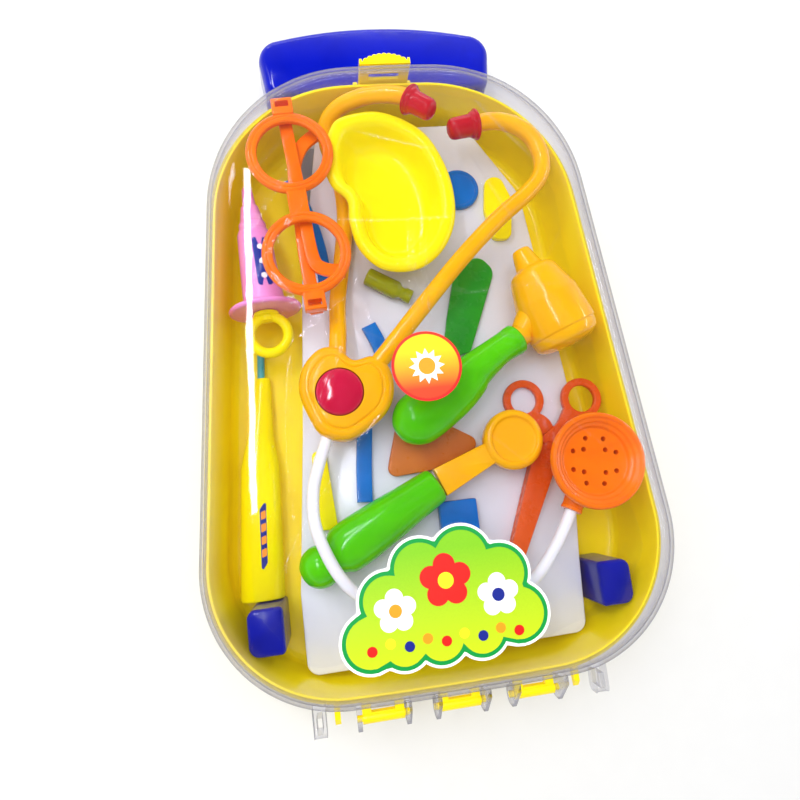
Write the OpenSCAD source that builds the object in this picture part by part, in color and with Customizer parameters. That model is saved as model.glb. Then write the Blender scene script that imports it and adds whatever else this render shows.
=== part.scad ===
// Toy doctor case lying on its back: a yellow base under a clear domed lid, with a
// latch, a pull-out handle on two rods, two wheels in the lower corners, and a tray
// that carries the toy instruments. All sizes are in millimetres.
// +X is right, +Y points to the pull handle, +Z points to the lid, and the origin is
// the centre of the back face that the case lies on.

/* [Case] */
// Length of the case from the hinge edge to the latch edge
case_length = 350; // [349:1:358]
// Corner radius at the hinge end
low_corner_radius = 72; // [70:1:74]
// Distance of the corner centres from the middle at the hinge end
low_corner_x = 54; // [53:1:57]
// Corner radius at the latch end
top_corner_radius = 86; // [84:1:88]
// Distance of the corner centres from the middle at the latch end
top_corner_x = 23; // [22:1:26]
// Radius of the slightly bowed hinge edge
low_edge_radius = 2500; // [2000:100:4000]
// Radius of the bowed latch edge
top_edge_radius = 700; // [600:50:1000]
// Height of the base up to the rim that the lid closes on
base_height = 45; // [44:0.5:48]
// Wall thickness of the base
base_wall = 2.2; // [1.8:0.1:2.6]
// Height of the lid above the rim
lid_height = 31; // [30:0.5:34]
// Wall thickness of the clear lid
lid_wall = 1.8; // [1.4:0.1:2]
// Gap between the closed lid and the rim
lid_gap = 0.4; // [0.3:0.05:0.6]

/* [Hinge and latch] */
// Width of each hinge knuckle of the base
knuckle_width = 22; // [20:1:24]
// Distance between the middles of neighbouring knuckles
knuckle_pitch = 40.5; // [39:0.5:44]
// Distance of the hinge axis outside the hinge edge
hinge_reach = 8; // [7.6:0.1:9]
// Diameter of the hinge stub pins
hinge_pin_diameter = 3.5; // [3:0.1:4]
// Thickness of each hinge ear of the lid
ear_thickness = 2.4; // [2:0.1:2.8]
// Running clearance between a pin and its bore, on the radius
pin_clearance = 0.05; // [0.03:0.01:0.1]
// Width of the latch plate
latch_width = 30; // [26:1:34]
// Thickness of the latch plate
latch_thickness = 2; // [1.6:0.1:2.4]
// Diameter of the latch stub pins
latch_pin_diameter = 3; // [2.6:0.1:3.4]

/* [Pull handle] */
// Distance of each rod from the middle of the case
rod_x = 45; // [42:1:48]
// Width of a rod
rod_width = 13; // [11:0.5:14]
// Thickness of a rod
rod_thickness = 5; // [4:0.2:6]
// Length of the rods
rod_length = 204; // [196:2:210]
// Clearance between a rod and its guide on every side
rod_clearance = 0.4; // [0.3:0.05:0.5]
// Width of the pull handle at its widest
handle_width = 154; // [150:2:164]
// Depth of the pull handle away from the case
handle_depth = 47; // [43:1:50]
// Wall thickness of the handle shell
handle_wall = 2.6; // [2:0.2:3]

/* [Wheels] */
// Diameter of a wheel
wheel_diameter = 20; // [18:0.5:20]
// Width of a wheel
wheel_width = 12; // [10:1:12]
// Diameter of the axle pins
axle_diameter = 3; // [2.6:0.1:3.4]
// Clearance round a wheel in its housing
wheel_clearance = 0.7; // [0.5:0.1:1]
// Height of the wheel housings above the back face
housing_height = 40; // [38:0.5:40]

/* [Tray] */
// Height of the tray that carries the instruments
tray_height = 22; // [20:0.5:23]
// Thickness of the tray sheet
tray_wall = 1.4; // [1:0.1:1.8]

/* [Stethoscope] */
// Diameter of the ear tubes
tube_diameter = 10; // [9:0.5:10]
// Diameter of the soft hose
hose_diameter = 6.5; // [6:0.5:7]
// Diameter of the push button in the heart
button_diameter = 25.8; // [24:0.2:26]
// Travel of the push button
button_travel = 2; // [1:0.25:2]
// Diameter of the bell that is held on the chest
bell_diameter = 54; // [50:1:54]

/* [Other instruments] */
// Outer diameter of each lens ring of the glasses
lens_ring_diameter = 49; // [46:1:49]
// Inner diameter of each lens ring
lens_opening = 36.8; // [34:0.4:40]
// Thickness of the glasses frame
glasses_thickness = 4; // [3:0.5:4]
// Depth of the kidney dish
dish_depth = 20.5; // [18:0.5:21]
// Largest diameter of the syringe barrel
syringe_diameter = 24; // [20:1:24]
// Diameter of the finger disc of the syringe
finger_disc_diameter = 42; // [38:1:42]
// Thickness of the scissors
scissors_thickness = 8; // [6:0.5:8]

/* [Hidden] */
$fn = 64;

hinge_end = -case_length / 2;
latch_end = case_length / 2;
foot_inset = 5;
base_draft = 2.4;
rim_depth = 3.5;
rim_width = foot_inset - base_draft;
lip_height = 3;
lip_width = 1.2;
rim_z = base_height - rim_depth;
lid_top = base_height + lid_height;
lid_seat = base_height + lid_gap;
dome_inset = 18;
dome_z = base_height + 7;
hinge_axis = [hinge_end - hinge_reach, base_height - 3];
knuckle_places = [-knuckle_pitch, 0, knuckle_pitch];
latch_axis = [latch_end + 3.4, base_height - 8.4];
latch_gap = 0.8;
rod_z = 9;
wheel_x = 97;
wheel_y = hinge_end + 40.3;
wheel_z = wheel_diameter / 2 + 0.6;
housing_wall = 1.6;
housing_face_y = wheel_y + wheel_diameter / 2 + wheel_clearance + housing_wall;
seat_gap = 0.2;
on_tray = tray_height + seat_gap;
fit_gap = 0.1;

// ---------- shape helpers ----------

function unit(v) = v / norm(v);

function arc(centre, r, from, to, n) =
    [for (i = [0:n - 1]) let (a = from + (to - from) * i / (n - 1))
        centre + r * [cos(a), sin(a)]];

function drop_last(p) = [for (i = [0:len(p) - 2]) p[i]];

// Outline of the case, drawn in from its edge by inset
function case_outline(inset) =
    let (
        low_middle = [0, low_edge_radius + hinge_end],
        top_middle = [0, latch_end - top_edge_radius],
        low_corner = [low_corner_x, low_middle.y
            - sqrt(pow(low_edge_radius - low_corner_radius, 2) - pow(low_corner_x, 2))],
        top_corner = [top_corner_x, top_middle.y
            + sqrt(pow(top_edge_radius - top_corner_radius, 2) - pow(top_corner_x, 2))],
        low_turn = atan2(low_corner.y - low_middle.y, low_corner.x),
        top_turn = atan2(top_corner.y - top_middle.y, top_corner.x),
        across = top_corner - low_corner,
        flank = atan2(across.y, across.x)
            - acos((low_corner_radius - top_corner_radius) / norm(across)),
        half = concat(
            drop_last(arc(low_middle, low_edge_radius - inset, -90, low_turn, 3)),
            arc(low_corner, low_corner_radius - inset, low_turn, flank, 12),
            drop_last(arc(top_corner, top_corner_radius - inset, flank, top_turn, 12)),
            arc(top_middle, top_edge_radius - inset, top_turn, 90, 3))
    )
    concat(half, [for (i = [len(half) - 2:-1:1]) [-half[i].x, half[i].y]]);

// Corners of a polygon rounded to their own radii, n points a corner
function rounded(p, radii, n) =
    [for (i = [0:len(p) - 1])
        let (
            here = p[i],
            before = unit(p[(i + len(p) - 1) % len(p)] - here),
            after = unit(p[(i + 1) % len(p)] - here),
            half_angle = acos(max(-1, min(1, before * after))) / 2,
            centre = here + unit(before + after) * radii[i] / sin(half_angle),
            start = here + before * radii[i] / tan(half_angle) - centre,
            end = here + after * radii[i] / tan(half_angle) - centre,
            a0 = atan2(start.y, start.x),
            turn = (atan2(end.y, end.x) - a0 + 540) % 360 - 180
        )
        each arc(centre, radii[i], a0, a0 + turn, n)];

// Smooth closed curve through points, n steps between neighbours
function smooth(p, n) =
    [for (i = [0:len(p) - 1])
        let (
            a = p[(i + len(p) - 1) % len(p)],
            b = p[i],
            c = p[(i + 1) % len(p)],
            d = p[(i + 2) % len(p)]
        )
        for (k = [0:n - 1]) curve_point(a, b, c, d, k / n)];

function curve_point(a, b, c, d, t) =
    (2 * b + (c - a) * t + (2 * a - 5 * b + 4 * c - d) * t * t
        + (3 * b - a - 3 * c + d) * t * t * t) / 2;

// Smooth open curve through route points, n steps between neighbours
function route(p, n) =
    [for (i = [0:len(p) - 2])
        let (a = p[max(i - 1, 0)], d = p[min(i + 2, len(p) - 1)])
        for (k = [0:i == len(p) - 2 ? n : n - 1])
            curve_point(a, p[i], p[i + 1], d, k / n)];

// A closed anticlockwise outline moved outwards by d
function grow(p, d) =
    [for (i = [0:len(p) - 1])
        let (
            along = unit(p[(i + 1) % len(p)] - p[(i + len(p) - 1) % len(p)])
        )
        p[i] + d * [along.y, -along.x]];

function lift(outline, z) = [for (q = outline) [q.x, q.y, z]];

// Flat strip of a given width along a line of points
function strip_outline(p, width) =
    let (
        side = [for (i = [0:len(p) - 1])
            let (along = unit(p[min(i + 1, len(p) - 1)] - p[max(i - 1, 0)]))
            [along.y, -along.x] * width / 2]
    )
    concat([for (i = [0:len(p) - 1]) p[i] + side[i]],
        [for (i = [len(p) - 1:-1:0]) p[i] - side[i]]);

// Solid through equal rings of points, from the first ring to the last
module loft(rings) {
    n = len(rings[0]);
    last = len(rings) - 1;
    points = [for (ring = rings) each ring];
    walls = [for (k = [0:last - 1]) for (i = [0:n - 1])
        let (j = (i + 1) % n)
        each [[k * n + i, (k + 1) * n + i, (k + 1) * n + j],
            [k * n + i, (k + 1) * n + j, k * n + j]]];
    start = [for (i = [0:n - 1]) i];
    end = [for (i = [n - 1:-1:0]) last * n + i];
    polyhedron(points, concat([start], walls, [end]));
}

// Round tube along a line of points
module sweep(path, diameter, sides) {
    last = len(path) - 1;
    loft([for (i = [0:last])
        let (
            along = unit(path[min(i + 1, last)] - path[max(i - 1, 0)]),
            u = unit(cross([0, 0, 1], along)),
            v = cross(along, u)
        )
        [for (k = [0:sides - 1]) let (a = 360 * (k + 0.5) / sides)
            path[i] + diameter / 2 * (cos(a) * u + sin(a) * v)]]);
}

// Stack of outlines, each [inset, z]
module case_loft(profile) {
    loft([for (q = profile) lift(case_outline(q[0]), q[1])]);
}

// Children drawn along +Z are turned to point from one place to another
module aim(from, to) {
    way = to - from;
    translate(from)
        rotate([0, acos(way.z / norm(way)), atan2(way.y, way.x)])
            children();
}

module mirror_pair() {
    children();
    mirror([1, 0, 0]) children();
}

// Bar along X with a profile in Y and Z
module along_x(x0, x1) {
    translate([x0, 0, 0])
        rotate([90, 0, 90])
            linear_extrude(x1 - x0) children();
}

module pin_x(x0, x1, y, z, r) {
    translate([x0, y, z])
        rotate([0, 90, 0]) cylinder(h = x1 - x0, r = r);
}

// ---------- case ----------

cavity_profile = [
    [foot_inset + base_wall + 6.8, base_wall],
    [foot_inset + base_wall + 3.8, base_wall + 0.4],
    [foot_inset + base_wall + 1.2, base_wall + 2.2],
    [foot_inset + base_wall, base_wall + 5.3],
    [rim_width + base_wall - 0.4, rim_z - 0.5]
];

base_profile = concat(
    [[foot_inset + 7, 0],
        [foot_inset + 3.5, 0.6],
        [foot_inset + 1, 2.4],
        [foot_inset, 6],
        [rim_width, rim_z],
        [0, rim_z],
        [0, base_height],
        [lid_wall + lid_gap + 0.6, base_height],
        [lid_wall + lid_gap + 0.7, base_height + lip_height],
        [lid_wall + lid_gap + 0.7 + lip_width, base_height + lip_height]],
    [for (i = [len(cavity_profile) - 1:-1:0]) cavity_profile[i]]);

knuckle_radius = 2.9;
slot_size = [12.4, 4];

module knuckle(x) {
    difference() {
        union() {
            translate([x - knuckle_width / 2, hinge_axis.x, base_height - 5])
                cube([knuckle_width, hinge_reach + 2, 4]);
            pin_x(x - knuckle_width / 2, x + knuckle_width / 2,
                hinge_axis.x, hinge_axis.y, knuckle_radius);
        }
        translate([x - slot_size.x / 2, hinge_axis.x + knuckle_radius, 0])
            cube([slot_size.x, slot_size.y, 2 * base_height]);
    }
    reach = knuckle_width / 2 + 0.4 + ear_thickness;
    pin_x(x - reach, x + reach, hinge_axis.x, hinge_axis.y, hinge_pin_diameter / 2);
}

module latch_ear() {
    inner = latch_width / 2 + 0.4;
    difference() {
        along_x(inner, inner + 2.4) {
            translate(latch_axis) circle(r = 3.2);
            translate([latch_end - rim_width - 1, latch_axis.y - 3.2])
                square([latch_axis.x - latch_end + rim_width + 1, 6.4]);
        }
        pin_x(inner - 1, inner + 4, latch_axis.x, latch_axis.y,
            latch_pin_diameter / 2 + pin_clearance);
    }
}

module end_rib() {
    rib_x = knuckle_pitch + 23.5;
    along_x(rib_x - 1.5, rib_x + 1.5)
        polygon([[hinge_end + 2.5, base_height - 5],
            [hinge_end + 2.5, base_height - 0.5],
            [hinge_end - 6, base_height - 0.5],
            [hinge_end - 9, base_height - 3]]);
}

// Rib inside the rim behind the latch
module catch_rib() {
    translate([-1.3, latch_end - foot_inset - 2, rim_z - 2])
        cube([2.6, 3.6, rim_depth + lip_height + 2]);
}

module wheel_slot() {
    half = wheel_width / 2 + wheel_clearance;
    reach = wheel_diameter / 2 + wheel_clearance;
    translate([wheel_x - half, wheel_y - reach, -1])
        cube([2 * half, 2 * reach, wheel_z + reach + 1]);
    pin_x(wheel_x - axle_reach - fit_gap, wheel_x + axle_reach + fit_gap, wheel_y, wheel_z,
        axle_diameter / 2 + pin_clearance);
}

module rod_slot() {
    translate([rod_x - rod_width / 2 - rod_clearance - 0.1, latch_end - 45,
        rod_z - rod_thickness / 2 - rod_clearance])
        cube([rod_width + 2 * rod_clearance + 0.2, 60, rod_thickness + 2 * rod_clearance]);
}

module base_shell() {
    color("#f5dc14")
        difference() {
            union() {
                case_loft(base_profile);
                for (x = knuckle_places) knuckle(x);
                mirror_pair() latch_ear();
                mirror_pair() end_rib();
                catch_rib();
            }
            mirror_pair() wheel_slot();
            mirror_pair() rod_slot();
        }
}

dome_steps = 5;
dome_outer = [for (i = [0:dome_steps]) let (a = 90 * i / dome_steps)
    [dome_inset + 0.6 - dome_inset * cos(a), dome_z + (lid_top - dome_z) * sin(a)]];
dome_inner = [for (i = [dome_steps:-1:0]) let (a = 90 * i / dome_steps)
    [dome_inset + 0.6 - (dome_inset - lid_wall) * cos(a),
        dome_z + (lid_top - lid_wall - dome_z) * sin(a)]];

module hinge_ear(x) {
    difference() {
        along_x(x, x + ear_thickness) {
            translate(hinge_axis) circle(r = 5);
            polygon([hinge_axis + [-5, 0],
                [hinge_axis.x - 5, lid_seat + 0.6],
                [hinge_end - 2, dome_z + 8],
                [hinge_end + 2.4, dome_z + 8],
                [hinge_end + 1.4, lid_seat + 0.6],
                [hinge_end - 1.2, lid_seat + 0.6],
                hinge_axis + [4.8, 0]]);
        }
        pin_x(x - 1, x + ear_thickness + 1, hinge_axis.x, hinge_axis.y,
            hinge_pin_diameter / 2 + pin_clearance);
    }
}

// Slotted foot that the closed case stands on beside the wheels
module lid_foot() {
    foot_x = 69.4;
    foot_width = 6.4;
    difference() {
        along_x(foot_x, foot_x + foot_width)
            polygon(rounded([[hinge_end + 5.1, base_height + 4.5],
                [hinge_end + 5.1, dome_z + 6],
                [hinge_end - 9.4, dome_z + 6],
                [hinge_end - 9.4, base_height + 2.5]], [0.4, 0.4, 3, 3], 6));
        translate([foot_x + 1.8, hinge_end - 7, base_height])
            cube([foot_width - 3.6, 7.6, 30]);
    }
}

module lid() {
    color("#dfe9ee", 0.35) {
        case_loft(concat(dome_inner,
            [[lid_wall + 0.4, lid_seat], [0.4, lid_seat], [0.4, lid_seat + 3.4]],
            dome_outer));
        for (x = knuckle_places) {
            hinge_ear(x + knuckle_width / 2 + 0.4);
            hinge_ear(x - knuckle_width / 2 - 0.4 - ear_thickness);
        }
        mirror_pair() lid_foot();
        along_x(-7, 7)
            polygon([[latch_end - 1.2, base_height + 2.8],
                [latch_end + 0.5, base_height + 3.6],
                [latch_end + 0.5, base_height + 5],
                [latch_end - 1.2, base_height + 6.2]]);
        for (side = [-1, 1])
            translate([side * 20 - 0.8, latch_end - 1.6, lid_seat + 0.6])
                cube([1.6, 1.8, 12]);
    }
}

module latch() {
    plate_y = latch_end + latch_gap;
    plate_top = base_height + 15.6;
    ledge_reach = plate_y + latch_thickness + 5;
    bow = 24;
    color("#f5dc14")
        difference() {
            union() {
                translate([-latch_width / 2, plate_y, latch_axis.y])
                    cube([latch_width, latch_thickness, plate_top - latch_axis.y]);
                translate([0, 0, plate_top - 2.6])
                    linear_extrude(2.6)
                        intersection() {
                            union() {
                                translate([0, ledge_reach - bow]) circle(r = bow - 0.8);
                                for (i = [-4:4])
                                    translate([0, ledge_reach - bow])
                                        rotate(7.4 * i)
                                            translate([0, bow - 1.7]) circle(r = 1.7, $fn = 16);
                            }
                            translate([-latch_width / 2, plate_y])
                                square([latch_width, 20]);
                        }
                pin_x(-latch_width / 2, latch_width / 2, latch_axis.x, latch_axis.y, 2.6);
                pin_x(-latch_width / 2 - 2.8, latch_width / 2 + 2.8,
                    latch_axis.x, latch_axis.y, latch_pin_diameter / 2);
                for (side = [-1, 1])
                    translate([side * (latch_width / 2 - 0.8) - 0.8, plate_y, latch_axis.y])
                        cube([1.6, latch_thickness + 1.6, plate_top - latch_axis.y]);
            }
            translate([-9.2, plate_y - 1, base_height + 2])
                cube([18.4, latch_thickness + 4, 5]);
        }
}

handle_y = latch_end + 5.5;
handle_z = 4;
handle_top = 30.5;

handle_bow = 270;
handle_shoulder = 28.6;

function handle_outline(inset) =
    let (
        half = handle_width / 2,
        end_y = handle_y + handle_depth,
        side_y = end_y - (half - handle_shoulder) * 0.2
    )
    grow(rounded([[half - 5, handle_y], [half, side_y], [handle_shoulder, end_y],
        [-handle_shoulder, end_y], [-half, side_y], [5 - half, handle_y]],
        [9, 10, handle_bow, handle_bow, 10, 9], 7), -inset);

rod_end_y = handle_y + 9.5;
rod_start_y = rod_end_y - rod_length;

module pull_handle() {
    outer = [[1.2, handle_z], [0, handle_z + 1.2], [0.8, handle_top - 4.5],
        [2.4, handle_top - 1.2], [5.5, handle_top]];
    inner = [[7, handle_top - handle_wall],
        [handle_wall + 1.6, handle_top - handle_wall - 2], [handle_wall, handle_z]];
    color("#0a1ec8")
        difference() {
            union() {
                loft([for (q = concat(inner, outer)) lift(handle_outline(q[0]), q[1])]);
                mirror_pair()
                    translate([rod_x - rod_width / 2 - 2.5, handle_y + 1.5, handle_z + 0.6])
                        cube([rod_width + 5, 14.5, handle_top - handle_z - handle_wall]);
            }
            mirror_pair()
                translate([rod_x - rod_width / 2 - fit_gap, handle_y - 1,
                    rod_z - rod_thickness / 2 - fit_gap])
                    cube([rod_width + 2 * fit_gap, rod_end_y - handle_y + 1 + fit_gap,
                        rod_thickness + 2 * fit_gap]);
        }
}

stop_width = rod_width + 2.2;
guide_mouth_y = latch_end - 22;
guide_start_y = rod_start_y - 3;
guide_width = rod_width + 8;
guide_top = rod_z + rod_thickness / 2 + 3;
guide_flange = 5;

module rod() {
    color("#c3c7cc") {
        translate([rod_x - rod_width / 2, rod_start_y, rod_z - rod_thickness / 2])
            cube([rod_width, rod_length, rod_thickness]);
        translate([rod_x - stop_width / 2, rod_start_y, rod_z - rod_thickness / 2])
            cube([stop_width, 6, rod_thickness]);
    }
}

module rod_left() { mirror([1, 0, 0]) rod(); }

module rod_right() { rod(); }

module rod_guide() {
    floor_z = base_wall + fit_gap;
    wide = stop_width + 2 * rod_clearance;
    narrow = rod_width + 2 * rod_clearance;
    bore_z = rod_z - rod_thickness / 2 - rod_clearance;
    bore_height = rod_thickness + 2 * rod_clearance;
    color("#8f949b")
        difference() {
            union() {
                translate([rod_x - guide_width / 2, guide_start_y - 3, floor_z])
                    cube([guide_width, guide_mouth_y - guide_start_y + 3, guide_top - floor_z]);
                for (y = [guide_start_y - 3, guide_mouth_y - 24])
                    translate([rod_x - guide_width / 2 - guide_flange, y, floor_z])
                        cube([guide_width + 2 * guide_flange, 8, 2.4]);
            }
            translate([rod_x - wide / 2, guide_start_y, bore_z])
                cube([wide, guide_mouth_y - 8 - guide_start_y, bore_height]);
            translate([rod_x - narrow / 2, guide_start_y, bore_z])
                cube([narrow, 300, bore_height]);
            for (y = [guide_start_y + 20:24:guide_mouth_y - 30])
                translate([rod_x - 3, y, bore_z])
                    cube([6, 12, 20]);
        }
}

module rod_guide_left() { mirror([1, 0, 0]) rod_guide(); }

module rod_guide_right() { rod_guide(); }

// ---------- wheels ----------

housing_side = 2.9;
housing_back_y = 2 * wheel_y - housing_face_y;
axle_reach = wheel_width / 2 + wheel_clearance + housing_side - 1;

module wheel() {
    r = wheel_diameter / 2;
    half = wheel_width / 2;
    hub = axle_diameter / 2 + pin_clearance;
    boss = hub + 1.5;
    rim = r - 2.5;
    color("#2a2f36")
        translate([wheel_x, wheel_y, wheel_z])
            rotate([0, 90, 0])
                difference() {
                    rotate_extrude()
                        polygon([[hub, -half], [boss, -half], [boss + 0.4, 1.2 - half],
                            [rim - 0.4, 1.2 - half], [rim, -half], [r - 1, -half],
                            [r, 1 - half], [r, half - 1], [r - 1, half],
                            [rim, half], [rim - 0.4, half - 1.2], [boss + 0.4, half - 1.2],
                            [boss, half], [hub, half]]);
                    for (i = [0:4])
                        rotate(72 * i)
                            translate([(boss + rim) / 2, 0, -half])
                                cylinder(h = wheel_width, r = 1.1, $fn = 16);
                }
}

module wheel_left() { mirror([1, 0, 0]) wheel(); }

module wheel_right() { wheel(); }

module axle() {
    color("#b9bec4")
        pin_x(wheel_x - axle_reach, wheel_x + axle_reach, wheel_y, wheel_z, axle_diameter / 2);
}

module axle_left() { mirror([1, 0, 0]) axle(); }

module axle_right() { axle(); }

function housing_outline(inset) =
    let (half = wheel_width / 2 + wheel_clearance + housing_side)
    grow(rounded([[wheel_x - half, housing_back_y], [wheel_x + half, housing_back_y],
        [wheel_x + half, housing_face_y], [wheel_x - half, housing_face_y]],
        [0.8, 5, 4, 0.8], 5), -inset);

// Box that closes the inside of the base over a wheel and holds its axle
module wheel_housing() {
    half = wheel_width / 2 + wheel_clearance;
    top = housing_height;
    color("#1b1f9e")
        difference() {
            intersection() {
                loft([for (q = [[0, 0], [0, top - 1.6], [0.4, top - 0.5], [1.5, top]])
                    lift(housing_outline(q[0]), q[1])]);
                case_loft([for (i = [1, 3, 4]) cavity_profile[i] + [fit_gap, fit_gap]]);
            }
            wheel_slot();
            translate([wheel_x - half, housing_back_y + housing_wall, -1])
                cube([2 * half, housing_face_y - housing_back_y - 2 * housing_wall,
                    top - housing_wall + 1]);
        }
}

module wheel_housing_left() { mirror([1, 0, 0]) wheel_housing(); }

module wheel_housing_right() { wheel_housing(); }

// ---------- tray ----------

tray_low = hinge_end + 9.5;
tray_top = latch_end - 27;

function tray_outline(inset) =
    grow(rounded([[-79.5, tray_low], [83.5, tray_low + 1.7], [86.4, hinge_end + 57],
        [96, -20], [84, 110], [62, tray_top], [-50, tray_top], [-62, 60],
        [-70, -30], [-79.5, -120]], [8, 8, 8, 30, 30, 12, 12, 30, 40, 30], 4), -inset);

module insert_tray() {
    foot = base_wall + 0.3;
    color("#dcdfe2")
        difference() {
            loft([for (q = [[3.2, tray_height - tray_wall],
                [2.6 + tray_wall, tray_height - tray_wall - 0.6],
                [6 + tray_wall, foot], [6, foot], [0.8, tray_height - 0.8],
                [2.2, tray_height]]) lift(tray_outline(q[0]), q[1])]);
            mirror_pair()
                for (cut = [[guide_width / 2 + 0.5, guide_top + 0.4],
                    [guide_width / 2 + guide_flange + 0.5, foot + 2.6]])
                    translate([rod_x - cut[0], guide_start_y - 4, 0])
                        cube([2 * cut[0], case_length, cut[1]]);
        }
}

// ---------- stethoscope ----------

heart_at = [-43, -14];
heart_turn = -19;
heart_bottom = tray_height + 12;
heart_split = heart_bottom + 9.5;
heart_top = heart_bottom + 20;
button_at = [-46, -13.4];
button_radius = button_diameter / 2;
flange_radius = button_radius + 1.3;
flange_thickness = 1.6;
flange_z = heart_split + button_travel + 2;
collar_z = flange_z + flange_thickness + 0.3;

heart_half = [[0, 20], [10, 24.5], [20, 21], [26, 9], [25, -4], [17, -16], [7, -25]];

function heart_outline(inset) =
    grow(smooth(concat([for (i = [len(heart_half) - 1:-1:0]) heart_half[i]],
        [for (i = [1:len(heart_half) - 1]) [-heart_half[i].x, heart_half[i].y]]), 3), -inset);

module heart_loft(profile) {
    translate([heart_at.x, heart_at.y, 0])
        rotate(heart_turn)
            loft([for (q = profile) lift(heart_outline(q[0]), q[1])]);
}

// Routes of the ear tubes and the hose, from the heart outwards
function over_tray(p) = [for (q = p) [q.x, q.y, q.z + tray_height]];

right_tube_route = over_tray([[-28.5, -4, 25.5], [-21.5, 3, 25.5], [4, 29.5, 28],
    [31, 57, 29], [56, 79.5, 29], [76.5, 95, 29], [86.5, 106, 29], [88.5, 118.5, 29],
    [84, 130.5, 30], [74, 138, 31], [62, 140.5, 32], [49.5, 138, 32]]);
left_tube_route = over_tray([[-45, 5, 20], [-44.4, 12.5, 20], [-43, 24, 18], [-41, 45, 9],
    [-35, 75, 6], [-31, 100, 6], [-32, 125, 7], [-37, 142, 10], [-37, 153, 16],
    [-29, 160, 22], [-16, 162, 28], [-3, 160.5, 31], [7, 157, 33], [13, 151.5, 35]]);
hose_route = over_tray([[-54.2, -33, 22], [-56.5, -40, 22], [-61, -51, 25], [-65, -64, 29],
    [-66, -80, 31], [-62, -96, 31], [-55, -111, 30], [-45, -122, 29], [-28, -131, 26],
    [-8, -136, 22], [12, -137, 20], [32, -134, 20], [49, -126, 21], [61, -113.5, 22],
    [70.5, -100.5, 22], [76.2, -91, 22], [79.5, -85.5, 22]]);

// Room in the heart for the start of a tube
module tube_socket(path, diameter, sides) {
    sweep([for (i = [0:6]) path[i]], diameter + fit_gap, sides);
}

module heart_sockets() {
    tube_socket(route(right_tube_route, 3), tube_diameter, 12);
    tube_socket(route(left_tube_route, 3), tube_diameter, 12);
    tube_socket(route(hose_route, 2), hose_diameter, 10);
}

module heart_base() {
    color("#f5a800")
        difference() {
            heart_loft([[4, heart_bottom], [1.2, heart_bottom + 1.4],
                [0, heart_bottom + 4.5], [0, heart_split]]);
            heart_sockets();
        }
}

module heart_cover() {
    color("#f5a800")
        difference() {
            heart_loft([[0, heart_split], [0, heart_top - 6], [1.5, heart_top - 2],
                [4, heart_top - 0.5], [6.5, heart_top]]);
            heart_sockets();
            translate([button_at.x, button_at.y, heart_split - 1])
                cylinder(h = collar_z - heart_split + 1, r = flange_radius + 0.4);
            translate([button_at.x, button_at.y, heart_split])
                cylinder(h = 30, r = button_radius + 0.35);
        }
}

module heart_button() {
    r = button_radius;
    crown = heart_top + 0.5;
    color("#d01c40")
        translate([button_at.x, button_at.y, 0])
            rotate_extrude()
                polygon([[0, flange_z], [flange_radius, flange_z],
                    [flange_radius, flange_z + flange_thickness],
                    [r, flange_z + flange_thickness], [r, crown - 1],
                    [r - 0.5, crown + 0.2], [r - 1.8, crown + 0.9], [r - 5, crown + 1.9],
                    [r - 9, crown + 2.6], [0, crown + 3]]);
}

// Return spring under the button, resting on the heart's lower half
module button_spring() {
    wire = 0.9;
    turns = 3;
    steps = 12;
    low = heart_split + wire / 2 + 0.05;
    high = flange_z - wire / 2 - 0.05;
    color("#9aa0a6")
        translate([button_at.x, button_at.y, 0])
            sweep([for (i = [0:turns * steps]) let (a = 360 * i / steps)
                [5.5 * cos(a), 5.5 * sin(a), low + (high - low) * i / (turns * steps)]],
                wire, 6);
}

module ear_tube_right() {
    color("#f5a800") sweep(route(right_tube_route, 3), tube_diameter, 12);
}

module ear_tube_left() {
    color("#f5a800") sweep(route(left_tube_route, 3), tube_diameter, 12);
}

module hose() {
    color("#f4f4f2") sweep(route(hose_route, 2), hose_diameter, 10);
}

module ear_tip(p) {
    last = len(p) - 1;
    r = tube_diameter / 2;
    color("#c8142a")
        aim(p[last], 2 * p[last] - p[last - 1])
            translate([0, 0, -5])
                rotate_extrude()
                    polygon([[r + 0.3, 0], [r + 3, 0], [r + 3.8, 0.6], [r + 3.8, 1.6],
                        [r + 2.6, 2.2], [r + 2.6, 3.6], [r + 1.5, 4.8], [r + 1.2, 15],
                        [r + 0.4, 17], [r - 1.6, 18.2], [0, 18.6], [0, 5.4], [r + 0.3, 5.4]]);
}

module ear_tip_right() { ear_tip(right_tube_route); }

module ear_tip_left() { ear_tip(left_tube_route); }

bell_at = [91, -66.2];
bell_bottom = on_tray + scissors_thickness + 0.3;

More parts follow.
